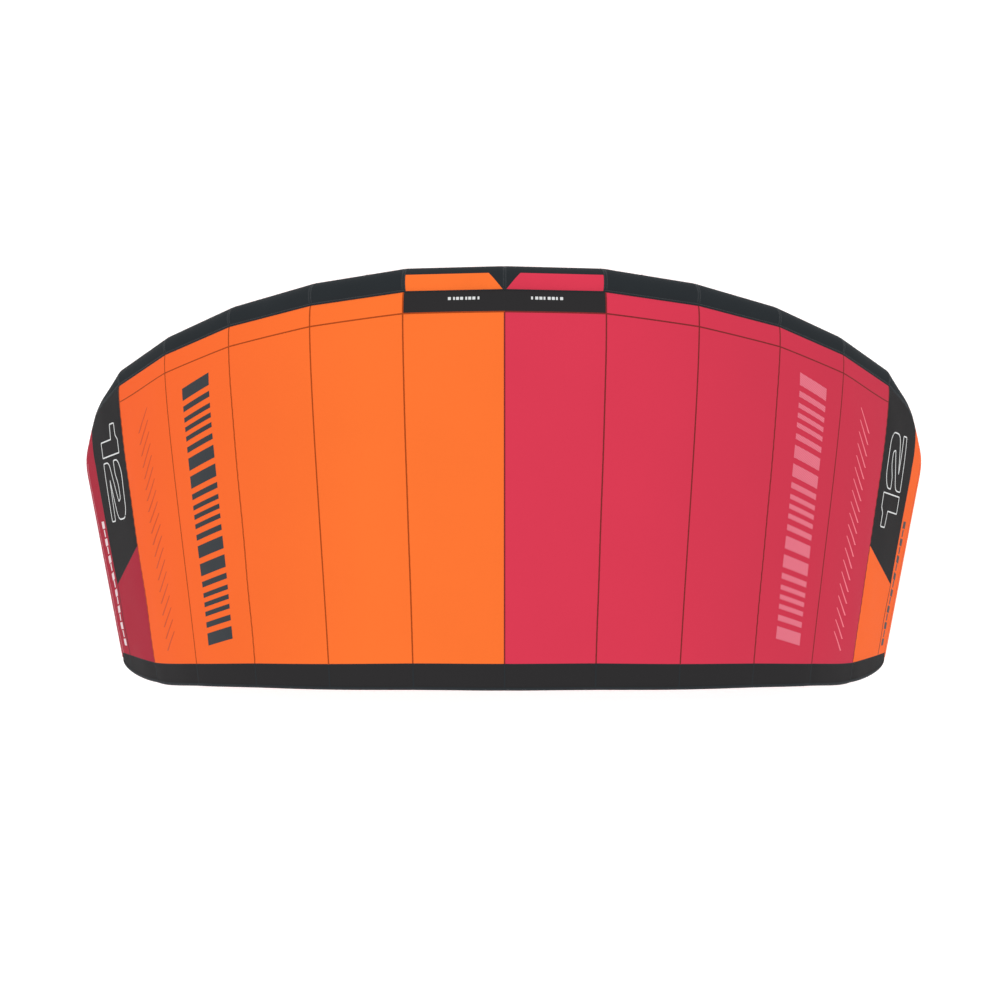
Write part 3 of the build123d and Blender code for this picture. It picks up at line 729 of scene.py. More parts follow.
def cut_size(grid):
    """The widest and longest that a grid of cloth is, laid flat."""
    grid = np.array(grid)
    return float(lengths_along(grid, 1)[:, -1].max()), float(lengths_along(grid, 0)[-1].max())


def canopy_piece(name, spans, first, last, side_name, slot, node):
    side = SIDES[side_name]
    grid = canopy_grid(spans, rows(first, last), side)
    cloth = Cloth(CLOTH).add(grid, side)
    return sheet(f"{name}_{side_name}_cloth", cloth, slot, f"{node}_{side_name}", cut_size(grid))


def make_canopy(side_name):
    main, tip, dark = CANOPY_SLOT[side_name], TIP_SLOT[side_name], "canopy_charcoal"
    for panel in range(TIP):
        spans = panel_spans(panel)
        band, node = (dark, "front_band_centre") if panel == 0 else (main, "front_band_outer")
        number = panel + 1
        name = f"canopy_panel_{number}"
        canopy_piece(name, spans, FRONT_BAND_END, TAIL_BAND_START, side_name, main, name)
        canopy_piece(f"front_band_{number}", spans, 0, FRONT_BAND_END, side_name, band, node)
        name = f"trailing_band_{number}"
        canopy_piece(name, spans, TAIL_BAND_START, LAST_STATION, side_name, dark, "trailing_band")
    pieces = (
        ("tip_panel_front", tip_panel_spans, 0, TIP_COLOUR_SEAM, dark),
        ("tip_panel_rear", tip_panel_spans, TIP_COLOUR_SEAM, TAIL_BAND_START, tip),
        ("tip_strip", tip_strip_spans, TIP_STRIP_START, TAIL_BAND_START, tip),
    )
    for name, spans, first, last, slot in pieces:
        canopy_piece(name, spans, first, last, side_name, slot, name)
    for number, spans in ((6, tip_panel_spans), (7, tip_strip_spans)):
        name = f"trailing_band_{number}"
        canopy_piece(name, spans, TAIL_BAND_START, LAST_STATION, side_name, dark, "trailing_band")


# --- Seams and the trailing edge's hem ----------------------------------------------------------------

SEAM_WIDTH = 0.0075
FELL_WIDTH = 0.016  # the seam's folded allowance on the underside
HEM_WIDTH = 0.014
TIP_EDGE_HEEL = 4  # the station at which the wing tip's edge reaches the heel
PIPING_INSET = 0.020
PIPING_HALF = 0.0024
HEM_THICKNESS = 0.0034
HEM_STEP = 0.01  # in span numbers, to find the edge's direction
HEM_BACK = 0.3  # in station numbers, to find the direction behind it
FELL_START = 0.3  # the station at which the folded allowances begin
FELL_LIFT = 0.0002 - CLOTH
CROSS_WIDTH = 0.006
STRIP_HALF = 0.0035


def spread(half, count=4):
    return [half * (2 * k / count - 1) for k in range(count + 1)]


def place_name(number, side_name):
    """What a piece on a rib or a joint is called after; the one in the middle has no side."""
    return f"{number}_{side_name}" if number else "centre"


def rib_seam(rib, side_name):
    """The sewn seam on a rib: a narrow tape on top and the folded allowance under it."""
    side = SIDES[side_name]
    place = place_name(rib, side_name)
    owner = f"canopy_panel_{max(rib, 1)}_{side_name}_cloth"
    front = FRONT_BAND_END if rib == 0 else 0
    parts = (
        ("seam_tape", front, TAIL_BAND_START, SEAM_WIDTH, TAPE_LIFT, SEAM_TAPE[side_name]),
        ("band_seam", TAIL_BAND_START, LAST_STATION, SEAM_WIDTH, TAPE_LIFT, "dark_tape"),
        ("seam_fell", FELL_START, LAST_STATION, FELL_WIDTH, FELL_LIFT, "dark_tape"),
    )
    for name, first, last, width, lift, material in parts:
        stations = [w for w in rows(0, LAST_STATION) if first <= w <= last]
        cloth = Cloth(TAPE, lift)
        cloth.add([[beside_rib(rib, b, w, side) for b in spread(width / 2)] for w in stations], side)
        trim(owner, f"{name}_{place}", cloth, material)


def cross_seam(name, owner, station, spans, side_name, material, width):
    """A sewn seam that crosses the canopy from span to span."""
    side = SIDES[side_name]
    cloth = Cloth(TAPE, TAPE_LIFT)
    offsets = spread(width / 2 / CHORD)
    middle = {u: tip_station(u, station) if station == TIP_COLOUR_SEAM else station for u in spans}
    grid = [[canopy(u, station_at(share_at(middle[u]) + b), side) for b in offsets] for u in spans]
    cloth.add(grid, -side)
    trim(owner, f"{name}_{side_name}", cloth, material)


def strip_line(name, side_name, first, last, from_edge, half, material):
    """A thin line along the wing tip's strip: on its inner seam, or at a distance from its outer edge."""
    side = SIDES[side_name]
    cloth = Cloth(TAPE, TAPE_LIFT)
    grid = []
    for station in rows(first, last):
        width = panel_width(TIP, station)
        middle = TIP + 1 - (from_edge / width if from_edge else strip_share(station))
        grid.append([canopy(min(middle + b / width, TIP + 1), station, side) for b in spread(half, 2)])
    cloth.add(grid, side)
    owner = f"tip_strip_{side_name}_cloth"
    trim(owner, f"{name}_{side_name}", cloth, material)


def tail_spans():
    """Span numbers from the middle to the wing tip's tube, for what runs along the whole trailing edge."""
    return [panel + s for panel in range(TIP + 1) for s in ACROSS[:-1]] + [TIP + 1.0]


def hem_profile():
    """The folded hem round the trailing edge: its distance behind the edge and its height, once round."""
    half = HEM_THICKNESS / 2
    front = [(-HEM_WIDTH, half * 0.8), (-HEM_WIDTH * 0.6, half), (-half, half)]
    nose = [(half * sin(a), half * cos(a)) for a in (0.5, 1.1, 1.6, 2.1, 2.7)]
    back = [(-half, -half), (-HEM_WIDTH * 0.6, -half), (-HEM_WIDTH, -half * 0.8)]
    return front + nose + back


def make_hem(side_name):
    side = SIDES[side_name]
    grid = []
    for span in tail_spans():
        edge = canopy(span, LAST_STATION, side)
        back = unit(edge - canopy(span, LAST_STATION - HEM_BACK, side))
        outer = canopy(min(span + HEM_STEP, TIP + 1), LAST_STATION, side)
        inner = canopy(max(span - HEM_STEP, 0), LAST_STATION, side)
        up = unit(np.cross(unit(outer - inner), back)) * -side
        middle = edge - up * CLOTH / 2
        grid.append([middle + back * y + up * z for y, z in hem_profile()])
    cloth = Cloth(TAPE, 0.0).add(grid, side)
    owner = f"trailing_band_1_{side_name}_cloth"
    trim(owner, f"trailing_hem_{side_name}", cloth, "dark_tape")


def make_seams(side_name):
    for rib in range(1, RIBS):
        rib_seam(rib, side_name)
    every = tail_spans()
    panels = [span for span in every if span <= TIP]
    tip = [TIP + s * (1 - TIP_STRIP_SHARE) for s in ACROSS]
    lines = (
        ("front_band_seam", "canopy_panel_1", FRONT_BAND_END, panels, SEAM_TAPE[side_name], SEAM_WIDTH),
        ("trailing_band_seam", "canopy_panel_1", TAIL_BAND_START, every, "dark_tape", CROSS_WIDTH),
        ("tip_colour_seam", "tip_panel_rear", TIP_COLOUR_SEAM, tip, "dark_tape", CROSS_WIDTH),
    )
    for name, owner, station, spans, material, width in lines:
        cross_seam(name, f"{owner}_{side_name}_cloth", station, spans, side_name, material, width)
    strip_line("strip_seam", side_name, TIP_STRIP_START, LAST_STATION, 0, STRIP_HALF, "dark_tape")
    # This ink is painted light: a highlight on the left wing tip, shade on the right
    piping = TIP_PIPING_LIGHT_AND_SHADE[side_name]
    strip_line("tip_piping", side_name, TIP_EDGE_HEEL, TAIL_BAND_START, PIPING_INSET, PIPING_HALF, piping)
    make_hem(side_name)


# --- Tubes ------------------------------------------------------------------------------------------

AROUND = 56
JOINT_ROWS = (0.0, 0.003, 0.007, 0.012, 0.019, 0.028, 0.040, 0.056)  # distances from a joint
TUBE_PITCH = 0.0256  # between the rows further on
CASING = 0.0011
VALVE_HOLE = 0.026
JOINT_PINCH = 0.0012
JOINT_REACH = 0.010
TUBE_PUCKER = 0.0009
GATHER_REACH = 0.028
GATHER_GAP = 0.004  # the cloth is flat under a joint's tape
END_BACK = 0.012  # how far before its end a tube starts to close
END_CROWN = 0.008  # how far its closed end swells past it
END_TURNS = (14, 28, 42, 54, 65, 75, 83, 90)


def tube_sections():
    """Each section of the leading edge: its centre, and the directions to its seam, tail and along it."""
    steps = [unit(b - a) for a, b in zip(SEAM, SEAM[1:])]
    along = [vec(1, 0, 0)] + [unit(a + b) for a, b in zip(steps, steps[1:])] + [steps[-1]]
    found = []
    for point, way, lean, angle, radius in zip(SEAM, along, TUBE_LEANS, SEAM_ANGLES, TUBE_RADII):
        up = leaning(lean)
        up = unit(up - way * (up @ way))
        back = np.cross(way, up)
        to_seam = up * cos(radians(angle)) + back * sin(radians(angle))
        centre = point - to_seam * (radius + SEAM_HEIGHT)
        found.append((centre, to_seam, np.cross(way, to_seam), way))
    return found


SECTIONS = tube_sections()


def tube_radius(first, share):
    return TUBE_RADII[first] + (TUBE_RADII[first + 1] - TUBE_RADII[first]) * share


def tube_length(first):
    return float(np.linalg.norm(SECTIONS[first + 1][0] - SECTIONS[first][0]))


def on_tube(first, share, angle, lift=0.0, side=1):
    """A point over the leading edge's casing; the angle runs from the seam towards the tail, in degrees."""
    ends = []
    for section, radius in zip(SECTIONS[first : first + 2], TUBE_RADII[first : first + 2]):
        centre, to_seam, to_tail, _ = section
        out = to_seam * cos(radians(angle)) + to_tail * sin(radians(angle))
        ends.append(centre + out * (radius + lift))
    point = ends[0] + (ends[1] - ends[0]) * share + rounding(first, share)
    point[0] *= side
    return point


def tube_relief(first, share, angle):
    """The pinch and the small gathers of a casing beside its two joints."""
    length = tube_length(first)
    near = min(share, 1 - share) * length
    joint = first + (share > 0.5)
    gather = sin(23 * radians(angle) + 1.7 * joint + 1.4 * sin(3 * radians(angle) + joint))
    inner = 0.6 + 0.4 * cos(radians(angle - 180))
    pinch = JOINT_PINCH * exp(-((near / JOINT_REACH) ** 2))
    return TUBE_PUCKER * inner * gather * exp(-near / GATHER_REACH) * (1 - exp(-near / GATHER_GAP)) - pinch


def along_tube(first):
    """Shares of a tube piece's length, close together at its joints."""
    length = tube_length(first)
    ends = [distance / length for distance in JOINT_ROWS]
    count = max(2, round((length - 2 * JOINT_ROWS[-1]) / TUBE_PITCH))
    middle = [ends[-1] + (1 - 2 * ends[-1]) * k / count for k in range(1, count)]
    return ends + middle + [1 - e for e in ends[::-1]]


def angles_around(count=AROUND):
    return [360.0 * k / count for k in range(count + 1)]


def end_rows(end, length):
    """Where a tube closes round its end: the shares of its length, and of its radius there."""
    start, depth = end - END_BACK / length, (END_BACK + END_CROWN) / length
    turns = [radians(turn) for turn in END_TURNS]
    return [(start + depth * sin(t) ** (2 / 3), max(cos(t), 0) ** (2 / 3)) for t in turns]


def tube_grid(first, end, side, inset=0.0):
    """A tube piece's face, or one inside it; end is the share of its length at which it closes, if any."""
    shares = [(share, 1.0) for share in along_tube(first)]
    if end:
        length = tube_length(first)
        shares = [pair for pair in shares if pair[0] < end - END_BACK / length] + end_rows(end, length)
    grid = []
    for angle in angles_around():
        column = []
        for share, size in shares:
            lift = (size - 1) * tube_radius(first, share) - inset * size
            relief_here = tube_relief(first, share, angle) if size == 1.0 and not inset else 0.0
            column.append(on_tube(first, share, angle, lift + relief_here, side))
        grid.append(column)
    return grid


def tube_uv(first, grid):
    radius = TUBE_RADII[first]
    v = lengths_along(np.array(grid), 1)
    u = np.repeat([[radians(a) * radius] for a in angles_around()], v.shape[1], axis=1)
    return np.stack([u, v], axis=-1)


def off_valve(first, grid, side):
    """Which cells of a tube piece's grid lie outside the valve's hole, where the piece has a valve."""
    if first > 0:
        return None
    grid = np.array(grid)
    middles = (grid[:-1, :-1] + grid[1:, :-1] + grid[1:, 1:] + grid[:-1, 1:]) / 4
    return np.linalg.norm(middles - on_tube(0, 0.5, VALVE_ANGLE, 0, side), axis=2) > VALVE_HOLE


def casing(name, segments, side_name, material, node):
    """A casing of one or more straight pieces between joints."""
    side = SIDES[side_name]
    cloth = Cloth(CASING)
    total = 0.0
    for first in segments:
        grid = tube_grid(first, 1.0 if first == HEEL else None, side)
        cloth.add(grid, side, off_valve(first, grid, side), tube_uv(first, grid))
        total += tube_length(first)
    girth = tau * max(TUBE_RADII[first] for first in segments)
    return sheet(f"{name}_{side_name}_casing", cloth, material, f"{node}_{side_name}", (girth, total))


def make_leading_edge(side_name):
    tip_tube = {"right": "tube_orange", "left": "tube_crimson"}[side_name]
    for first in range(TIP):
        name = f"leading_edge_{first + 1}"
        casing(name, [first], side_name, "tube_charcoal", name)
    casing("tip_bend", [TIP, TIP + 1], side_name, "tube_charcoal", "tip_bend")
    casing("tip_tube", [TIP + 2, HEEL], side_name, tip_tube, "tip_tube")


BLADDER_IN = 0.0035  # how far the bladder's outer face lies inside the casing's
BLADDER_FILM = 0.0005
BLADDER_END = 0.97


def make_bladder():
    """The leading edge's bladder, from tip to tip inside its casings."""
    cloth = Cloth(BLADDER_FILM)
    for side in SIDES.values():
        for first in range(HEEL + 1):
            grid = tube_grid(first, BLADDER_END if first == HEEL else None, side, BLADDER_IN)
            cloth.add(grid, side, off_valve(first, grid, side))
    flat = tau * TUBE_RADII[0], 2 * sum(tube_length(first) for first in range(HEEL + 1))
    sheet("leading_edge_bladder_film", cloth, "bladder_film", "leading_edge_bladder", flat)


def tube_owner(first, side_name):
    if first < TIP:
        return f"leading_edge_{first + 1}_{side_name}_casing"
    return f"tip_bend_{side_name}_casing" if first < TIP + 2 else f"tip_tube_{side_name}_casing"


def past_joint(joint, offset):
    """The piece and the share of its length at a distance from a joint, outwards if positive."""
    first = joint if offset >= 0 else joint - 1
    share = offset / tube_length(first)
    return first, share if offset >= 0 else 1 + share


RING_ROWS = (-0.011, -0.0065, -0.0035, 0.0, 0.0035, 0.0065, 0.011)  # distances from the joint
RING_AROUND = 72


def joint_ring(joint, side_name):
    """The tape over the seam between two pieces of the casing."""
    side = SIDES[side_name]
    grid = []
    for angle in angles_around(RING_AROUND):
        column = []
        for offset in RING_ROWS:
            if joint == 0 and offset < 0:
                column.append(on_tube(0, -offset / tube_length(0), angle, tube_relief(0, 0, angle), -side))
                continue
            first, share = past_joint(joint, offset)
            column.append(on_tube(first, share, angle, tube_relief(first, share, angle), side))
        grid.append(column)
    cloth = Cloth(TAPE, TAPE_LIFT).add(grid, side)
    material = TIP_TAPE[side_name] if joint == HEEL else "dark_tape"
    trim(tube_owner(joint, side_name), f"joint_tape_{place_name(joint, side_name)}", cloth, material)


# Where the canopy's front edge is sewn to the tube: a tape on the tube, a step up and a lip on the canopy,
# each as its distance behind the seam and its height over the tube
LIP = (
    (-0.016, 0.0004), (-0.010, 0.0004), (-0.003, 0.0009), (0.0, 0.0028), (0.003, 0.0030), (0.0075, 0.0030),
)


def attachment(first, last, name, side_name, material):
    """The seam between the tube and the canopy, over several of the tube's pieces."""
    side = SIDES[side_name]
    columns = []
    for segment in range(first, last):
        shares = along_tube(segment)
        for share in shares if segment == last - 1 else shares[:-1]:
            radius = tube_radius(segment, share)
            lips = [(degrees_for(offset, radius), lift) for offset, lift in LIP]
            columns.append([on_tube(segment, share, angle, lift, side) for angle, lift in lips])
    cloth = Cloth(TAPE, 0.0).add(columns, -side)
    owner = tube_owner(first, side_name)
    trim(owner, f"{name}_{side_name}", cloth, material)


def degrees_for(distance, radius):
    return distance / radius * 180 / pi


PATCH_RINGS = 5
PATCH_TURNS = 32
PATCH_LIFT = 0.0009


def tube_patch(first, share, angle, half_length, half_width, side, hole=0.0):
    """A round or oval patch on the casing, as a polar grid."""
    length = tube_length(first)
    radius = tube_radius(first, share)
    rings = [hole + (1 - hole) * k / PATCH_RINGS for k in range(PATCH_RINGS + 1)]
    grid = []
    for turn in range(PATCH_TURNS + 1):
        a = tau * turn / PATCH_TURNS
        column = []
        for ring in rings:
            dx, dy = cos(a) * half_length * ring, sin(a) * half_width * ring
            column.append(on_tube(first, share + dx / length, angle + degrees_for(dy, radius), 0.0, side))
        grid.append(column)
    return Cloth(TAPE, PATCH_LIFT).add(grid, -side)


def make_patches(side_name):
    side = SIDES[side_name]
    places = [(segment, 0.5, BRIDLE_TAB_ANGLE, 0.052, 0.034, 0.0) for segment in (1, 2, 3, 4)]
    places.append((HEEL, REAR_TAB_SHARE, REAR_TAB_ANGLE, 0.040, 0.026, 0.0))
    places.append((0, 0.5, VALVE_ANGLE, 0.056, 0.056, 0.5))
    for number, (first, share, angle, half_length, half_width, hole) in enumerate(places, 1):
        cloth = tube_patch(first, share, angle, half_length, half_width, side, hole)
        trim(tube_owner(first, side_name), f"tube_patch_{number}_{side_name}", cloth, "patch")


FLASH_ANGLE = -54.0  # its front edge on the tube; its back edge is under the canopy's front seam
FLASH_STARTS = (0.078, 0.005)  # how far from the middle it starts, at its front edge and at its back edge
FLASH_END = 0.011  # how far before the next joint it ends
FLASH_CLOTH = 0.0012
FLASH_LIFT = 0.0007
FLASH_ROWS = 12
FLASH_COLUMNS = 40


def make_flash(side_name):
    """The coloured piece on the innermost casing, slanted to leave a dark wedge in the middle."""
    side = SIDES[side_name]
    material = {"right": "flash_crimson", "left": "flash_orange"}[side_name]
    length = tube_length(0)
    grid = []
    end = 1 - FLASH_END / length
    for k in range(FLASH_ROWS + 1):
        angle = FLASH_ANGLE * (1 - k / FLASH_ROWS)
        inner = FLASH_STARTS[0] + (FLASH_STARTS[1] - FLASH_STARTS[0]) * k / FLASH_ROWS
        start = inner / length
        shares = [start + (end - start) * j / FLASH_COLUMNS for j in range(FLASH_COLUMNS + 1)]
        grid.append([on_tube(0, share, angle, 0.0, side) for share in shares])
    cloth = Cloth(FLASH_CLOTH, FLASH_LIFT).add(grid, side)
    owner = f"leading_edge_1_{side_name}_casing"
    trim(owner, f"edge_flash_{side_name}", cloth, material)


# --- Struts -----------------------------------------------------------------------------------------

STRUT_TAPE = (-0.004, 0.0, 0.004, 0.008, 0.013)  # distances behind where the strut meets the leading edge
STRUT_LENGTH = 2.0
STRUT_HIDDEN = 0.12  # a share of the rib by which a strut has left the leading edge
STRUT_AROUND = 48
STRUT_ROWS = 60
STRUT_ROW_GROWTH = 1.15  # its rows lie closer together at the front


def edge_clearance(point):
    """How far a point on the right side lies outside the leading edge's casing."""
    nearest = 1.0
    for first in range(TIP):
        a, b = SECTIONS[first][0], SECTIONS[first + 1][0]
        share = float(np.clip((point - a) @ (b - a) / ((b - a) @ (b - a)), 0, 1))
        apart = np.linalg.norm(point - a - (b - a) * share) - tube_radius(first, share)
        nearest = min(nearest, apart)
    return nearest


def strut_section(rib, share):
    """A strut's centre, its directions up and outboard, and its radius at a share of the rib."""
    _, front, tail = STRUTS[rib]
    ahead, behind = rib_point(rib, max(share - 0.004, 0.0)), rib_point(rib, min(share + 0.004, 1.0))
    way = unit(behind - ahead)
    up = leaning(RIB_LEANS[rib])
    up = unit(up - way * (up @ way))
    radius = front + (tail - front) * share
    return rib_point(rib, share) - up * (radius + SEAM_HEIGHT * 0.6), up, np.cross(up, way), radius


def on_strut(rib, share, angle, lift=0.0, side=1):
    centre, up, out, radius = strut_section(rib, share)
    point = centre + (up * cos(radians(angle)) + out * sin(radians(angle))) * (radius + lift)
    point[0] *= side
    return point


def strut_start(rib, angle):
    """The share of the rib at which a line along the strut leaves the leading edge."""
    return edge_of(lambda share: edge_clearance(on_strut(rib, share, angle)) < 0, 0.0, STRUT_HIDDEN, 22)[1]


def make_strut(rib, side_name, label):
    side = SIDES[side_name]
    closing = STRUT_END - END_BACK / CHORD
    grid, tape = [], []
    for angle in angles_around(STRUT_AROUND):
        start = strut_start(rib, angle)
        shares = [(k / STRUT_ROWS) ** STRUT_ROW_GROWTH for k in range(STRUT_ROWS + 1)]
        straight = [start + (closing - start) * share for share in shares]
        column = [on_strut(rib, share, angle, 0.0, side) for share in straight]
        for share, size in end_rows(STRUT_END, CHORD):
            lift = (size - 1) * strut_section(rib, share)[3]
            column.append(on_strut(rib, share, angle, lift, side))
        grid.append(column)
        tape.append([on_strut(rib, start + d / CHORD, angle, 0.0, side) for d in STRUT_TAPE])
    cloth = Cloth(CASING).add(grid, side)
    name = f"strut_{label}_casing"
    flat = tau * STRUTS[rib][1], STRUT_LENGTH
    sheet(name, cloth, "tube_charcoal", f"strut_{label}", flat)
    ring = Cloth(TAPE, TAPE_LIFT).add(tape, side)
    trim(name, f"strut_{label}_joint_tape", ring, "dark_tape")


def make_struts():
    for rib, (name, _, _) in STRUTS.items():
        if rib == 0:
            make_strut(rib, "right", name)
            continue
        for side_name in SIDES:
            make_strut(rib, side_name, f"{name}_{side_name}")


# --- Prints -----------------------------------------------------------------------------------------


def print_cell(cloth, corners, side, across=8, along=8):
    """Adds ink over a four-cornered piece of the canopy; corners are (span, share), in order round it."""
    a, b, c, d = [np.array(corner, float) for corner in corners]
    grid = []
    for j in range(along + 1):
        t = j / along
        left, right = a + (d - a) * t, b + (c - b) * t
        line = [left + (right - left) * i / across for i in range(across + 1)]
        grid.append([canopy(u, station_at(share), side) for u, share in line])
    cloth.add(grid, side)


# A row of nine slanted blocks of bars down the fourth panel, in place of lettering
BLOCKS = 9
BLOCK_SPAN = (3.30, 3.72)
BLOCK_SHARES = (0.115, 0.888)
BLOCK_FILL = 0.80
BLOCK_SLANT = 0.018
BLOCK_BARS = (
    ((0.00, 0.52), (0.76, 1.00)),
    ((0.00, 0.20), (0.40, 0.60), (0.80, 1.00)),
    ((0.00, 0.24), (0.48, 1.00)),
)


def make_blocks(side_name):
    """The blocks' bars, in one piece of ink."""
    side = SIDES[side_name]
    cloth = Cloth(PRINT, PRINT_LIFT)
    pitch = (BLOCK_SHARES[1] - BLOCK_SHARES[0]) / BLOCKS
    low, high = BLOCK_SPAN
    for block in range(BLOCKS):
        start = BLOCK_SHARES[0] + pitch * block
        for front, back in BLOCK_BARS[block % len(BLOCK_BARS)]:
            front, back = (start + pitch * BLOCK_FILL * edge for edge in (front, back))
            corners = (low, front - BLOCK_SLANT / 2), (high, front + BLOCK_SLANT / 2)
            corners += (high, back + BLOCK_SLANT / 2), (low, back - BLOCK_SLANT / 2)
            print_cell(cloth, corners, side, across=12)
    material = {"right": "ink_pink", "left": "ink_dark"}[side_name]
    owner = f"canopy_panel_4_{side_name}_cloth"
    trim(owner, f"block_print_{side_name}", cloth, material)


HATCHES = 20
HATCH_SHARES = (0.122, 0.832)
HATCH_SPAN = (4.385, 4.60)
HATCH_LENGTH = 0.060
HATCH_WIDTH = 0.0165
HATCH_TAPER = 0.6  # a stroke's width at its front over its width at its back


def make_hatch(side_name):
    """A row of thin slanted strokes down the fifth panel."""
    side = SIDES[side_name]
    cloth = Cloth(PRINT, PRINT_LIFT)
    for k in range(HATCHES):
        share = HATCH_SHARES[0] + (HATCH_SHARES[1] - HATCH_SHARES[0]) * k / (HATCHES - 1)
        half = HATCH_WIDTH / PANEL_WIDTH / 2
        thin, end = half * HATCH_TAPER, share + HATCH_LENGTH
        front, back = HATCH_SPAN
        ends = (front - thin, share), (front + thin, share), (back + half, end), (back - half, end)
        print_cell(cloth, ends, side, 2, 14)
    material = {"right": "hatch_pink", "left": "hatch_orange"}[side_name]
    owner = f"canopy_panel_5_{side_name}_cloth"
    trim(owner, f"hatch_print_{side_name}", cloth, material)


# The size numeral 12 in outline. Each corner is from the digit's left and its foot, in shares of its box,
# with the share of the box that it is rounded over
ONE = (
    (0.00, 0.64, 0.03), (0.00, 0.89, 0.05), (0.40, 0.89, 0.05), (0.56, 1.00, 0.03),
    (1.00, 1.00, 0.02), (1.00, 0.00, 0.02), (0.49, 0.00, 0.02), (0.49, 0.60, 0.02),
)
TWO = (
    (0.00, 0.61, 0.04), (0.00, 0.84, 0.10), (0.20, 1.00, 0.14), (0.90, 0.96, 0.14), (1.00, 0.82, 0.08),
    (1.00, 0.42, 0.16), (0.30, 0.25, 0.02), (1.00, 0.20, 0.03), (1.00, 0.00, 0.03), (0.00, 0.00, 0.03),
    (0.00, 0.33, 0.14), (0.70, 0.61, 0.03), (0.66, 0.74, 0.06), (0.42, 0.74, 0.10), (0.22, 0.62, 0.05),
)
DIGIT_OFFSETS = (0.338, 0.083)  # how far a digit's foot and its top are from the wing tip's inner seam
DIGIT_STROKE = 0.0075
DIGIT_INK = 0.0005
DIGIT_LIFT = 0.0007
DIGIT_STEP = 0.05  # between an outline's points, in shares of its box
DIGIT_SLANT = 0.12  # how far forward a digit's top lies of its foot, over its height
# Each digit with the places along Y where its foot begins and ends
DIGIT_PLACES = {
    "left": ((ONE, 0.352, 0.175), (TWO, 0.142, -0.200)),
    "right": ((TWO, -0.025, 0.300), (ONE, -0.250, -0.054)),
}


def rounded(outline):
    """A closed outline with its corners rounded."""
    points = [np.array(corner[:2], float) for corner in outline]
    found = []
    for k, (*_, reach) in enumerate(outline):
        here, ahead = points[k], points[(k + 1) % len(points)]
        start, end = here + unit(points[k - 1] - here) * reach, here + unit(ahead - here) * reach
        for t in (0, 0.25, 0.5, 0.75, 1):
            found.append(start * (1 - t) ** 2 + here * 2 * t * (1 - t) + end * t**2)
    return found


def canopy_at_y(span, y):
    """The station at which a span line of the canopy reaches a place along Y."""
    return edge_of(lambda station: canopy(span, station)[1] > y, 0.0, float(LAST_STATION), 24)[0]


def finely(points, step):
    """A closed outline with points about a step apart."""
    found = []
    for a, b in zip(points, points[1:] + points[:1]):
        count = max(1, round(np.linalg.norm(b - a) / step))
        found += [a + (b - a) * k / count for k in range(count)]
    return found


def digit_line(outline, start, end, side):
    """A digit's outline on the wing tip, closed."""
    foot, top = DIGIT_OFFSETS
    found = []
    for x, y in finely(rounded(outline), DIGIT_STEP):
        offset = foot + (top - foot) * y
        place = start + (end - start) * x + DIGIT_SLANT * (foot - offset)
        span = TIP + 0.5
        for _ in range(4):
            station = canopy_at_y(span, place)
            span = TIP + offset / panel_width(TIP, station)
        found.append((span, station))
    steps = (0, 0), (0.004, 0), (0, 0.02)
    return [np.array([canopy(u + du, w + dw, side) for du, dw in steps]) for u, w in found]


def stroke(line, width, side):
    """A closed ribbon along a line of points, each with two neighbours that give the cloth's plane."""
    inner, outer = [], []
    count = len(line)
    for k in range(count):
        here, beside, behind = line[k]
        normal = unit(np.cross(behind - here, beside - here)) * side
        way = unit(line[(k + 1) % count][0] - line[k - 1][0])
        out = np.cross(way, normal) * width / 2
        inner.append(here - out)
        outer.append(here + out)
    return [inner + inner[:1], outer + outer[:1]]


def make_digits(side_name):
    side = SIDES[side_name]
    cloth = Cloth(DIGIT_INK, DIGIT_LIFT)
    for digit in DIGIT_PLACES[side_name]:
        cloth.add(stroke(digit_line(*digit, side), DIGIT_STROKE, side))
    owner = f"tip_panel_front_{side_name}_cloth"
    trim(owner, f"size_numeral_{side_name}", cloth, "ink_white")


MARKS = 15
MARK_ROW = (-0.198, -0.905)
MARK_LENGTH = 0.042
MARK_SPANS = ((5.79, 5.86), (5.81, 5.84))  # of the bold marks and of the fine ones between them


def make_strip_marks(side_name):
    """Short marks along the wing tip's strip, bold and fine in turn."""
    side = SIDES[side_name]
    cloth = Cloth(PRINT, PRINT_LIFT)
    for k in range(MARKS):
        y = MARK_ROW[0] + (MARK_ROW[1] - MARK_ROW[0]) * k / (MARKS - 1)
        inner, outer = MARK_SPANS[k % 2]
        share, end = (share_at(canopy_at_y(inner, place)) for place in (y, y - MARK_LENGTH))
        print_cell(cloth, ((inner, share), (outer, share), (outer, end), (inner, end)), side, 3, 4)
    material = {"right": "ink_dark", "left": "ink_rose"}[side_name]
    owner = f"tip_strip_{side_name}_cloth"
    trim(owner, f"strip_marks_{side_name}", cloth, material)


BAND_MARKS = 8
BAND_MARK_X = {"left": (0.127, 0.292), "right": (0.134, 0.302)}
BAND_MARK_SHARES = (0.0155, 0.0230)
BAND_MARK_FILLS = (0.45, 0.72, 0.72)


def make_band_marks(side_name):
    """Short plain marks on the front band beside the middle."""
    side = SIDES[side_name]
    cloth = Cloth(PRINT, PRINT_LIFT)
    low, high = BAND_MARK_X[side_name]
    front, back = BAND_MARK_SHARES
    pitch = (high - low) / BAND_MARKS
    for k in range(BAND_MARKS):
        start = (low + pitch * k) / PANEL_WIDTH
        end = start + pitch * BAND_MARK_FILLS[k % len(BAND_MARK_FILLS)] / PANEL_WIDTH
        print_cell(cloth, ((start, front), (end, front), (end, back), (start, back)), side, 3, 2)
    owner = f"front_band_1_{side_name}_cloth"
    trim(owner, f"band_marks_{side_name}", cloth, "ink_white")


# --- CAD pieces' materials --------------------------------------------------------------------------


